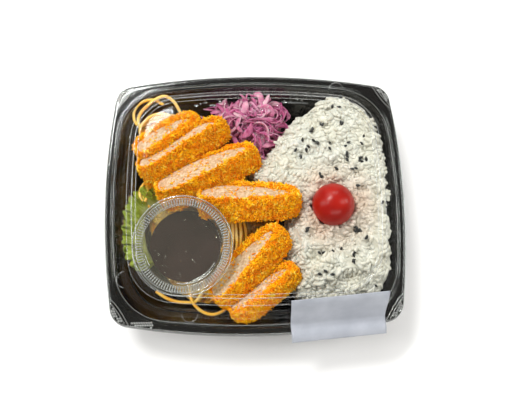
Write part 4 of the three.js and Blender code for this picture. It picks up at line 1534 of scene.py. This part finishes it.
dice = random.Random(41)
drop_places = []
for _ in range(CUP_DROPS):
    turn, radius = dice.uniform(0, 2 * math.pi), RECESS_RADIUS * math.sqrt(dice.random())
    size = dice.uniform(0.5, 1.3)
    drop_places.append(
        CUP_PLACE
        @ Matrix.Translation((radius * math.cos(turn), radius * math.sin(turn), 27.3 - SHEET))
        @ Matrix.Diagonal((size, size * dice.uniform(0.7, 1.2), 0.6 * size, 1))
    )
water_drop = bmesh.new()
bmesh.ops.create_icosphere(water_drop, subdivisions=2, radius=DROP_RADIUS)
bmesh.ops.bisect_plane(
    water_drop,
    geom=water_drop.verts[:] + water_drop.edges[:] + water_drop.faces[:],
    plane_co=(0, 0, 0),
    plane_no=(0, 0, 1),
    clear_outer=True,
)
for x, y, width in PANEL_DROPS:
    size = width / 2 / DROP_RADIUS
    drop_places.append(
        Matrix.Translation((x, y, LID_TOP - 1.9)) @ Matrix.Diagonal((size, size, 0.5 * size, 1))
    )
drops_under = strewn_mesh("water_drops", water_drop, drop_places)
ride_along("water_drops", drops_under, clear_water)

# Floor, lights and camera. A matt white table under soft lights that hang off to the sides, so
# that the lid's flat panel mirrors none of them, but for a small one at its back left corner.
table_white, tree, coords = new_material("table_white_matt_paint")
speckle = add_node(tree, "TexNoise", {"Scale": per(60), "Detail": 2.0}, {"Vector": coords})
paint = add_node(
    tree, "ValToRGB", {"stops": [(0.3, "#f4f4f3"), (0.7, "#f8f8f7")]}, {"Fac": speckle}
)
shader = add_node(tree, "BsdfPrincipled", {"Roughness": 0.9}, {"Base Color": paint})
add_node(tree, "OutputMaterial", None, {"Surface": shader})
table = bmesh.new()
bmesh.ops.create_grid(table, x_segments=1, y_segments=1, size=4.0)
floor_mesh = bpy.data.meshes.new("table_top")
table.to_mesh(floor_mesh)
table.free()
floor_mesh.materials.append(table_white)
floor = bpy.data.objects.new("table_top", floor_mesh)
bpy.context.scene.collection.objects.link(floor)

world = bpy.data.worlds.new("studio")
bpy.context.scene.world = world
world.use_nodes = True
world.node_tree.nodes["Background"].inputs["Color"].default_value = linear("#fffaf2")
world.node_tree.nodes["Background"].inputs["Strength"].default_value = 0.26

# Each softbox: its name, place and width and depth in metres, and its power in watts.
SOFTBOXES = (
    ("softbox_back", (-0.15, 1.35, 1.0), (1.6, 0.5), 11),
    ("softbox_left", (-1.25, 0.15, 1.0), (0.5, 1.4), 11),
    ("softbox_right", (1.25, 0.25, 1.0), (0.5, 1.4), 11),
    ("softbox_front", (0.2, -1.35, 1.1), (1.6, 0.5), 10),
    ("softbox_low", (0.1, -1.5, 0.22), (1.4, 0.3), 3.5),
    ("lamp_small", (-0.37, 0.47, 0.846), (0.46, 0.12), 8),
)
aim = TRAY_MIDDLE + Vector((0, 0, RIM * MM))
for name, place, (width, depth), power in SOFTBOXES:
    light = bpy.data.lights.new(name, "AREA")
    light.shape = "RECTANGLE"
    light.size = width
    light.size_y = depth
    light.energy = power
    lamp = bpy.data.objects.new(name, light)
    lamp.location = place
    lamp.rotation_euler = (aim - Vector(place)).to_track_quat("-Z", "Y").to_euler()
    bpy.context.scene.collection.objects.link(lamp)

VIEW_HEIGHT = math.radians(78.142)  # angle of the view over the table
VIEW_TURN = math.radians(-11.625)
VIEW_ROLL = math.radians(10.668)
VIEW_DISTANCE = 0.380
camera_data = bpy.data.cameras.new("camera")
camera_data.lens = 40.46
camera_data.sensor_width = 36.0
camera = bpy.data.objects.new("camera", camera_data)
bpy.context.scene.collection.objects.link(camera)
turn = Matrix.Rotation(VIEW_TURN, 4, "Z") @ Matrix.Rotation(math.pi / 2 - VIEW_HEIGHT, 4, "X")
camera.matrix_world = (
    Matrix.Translation(aim)
    @ turn
    @ Matrix.Translation((0, 0, VIEW_DISTANCE))
    @ Matrix.Rotation(VIEW_ROLL, 4, "Z")
)
bpy.context.scene.camera = camera
bpy.context.scene.view_settings.view_transform = "Standard"
bpy.context.scene.cycles.transparent_max_bounces = 24
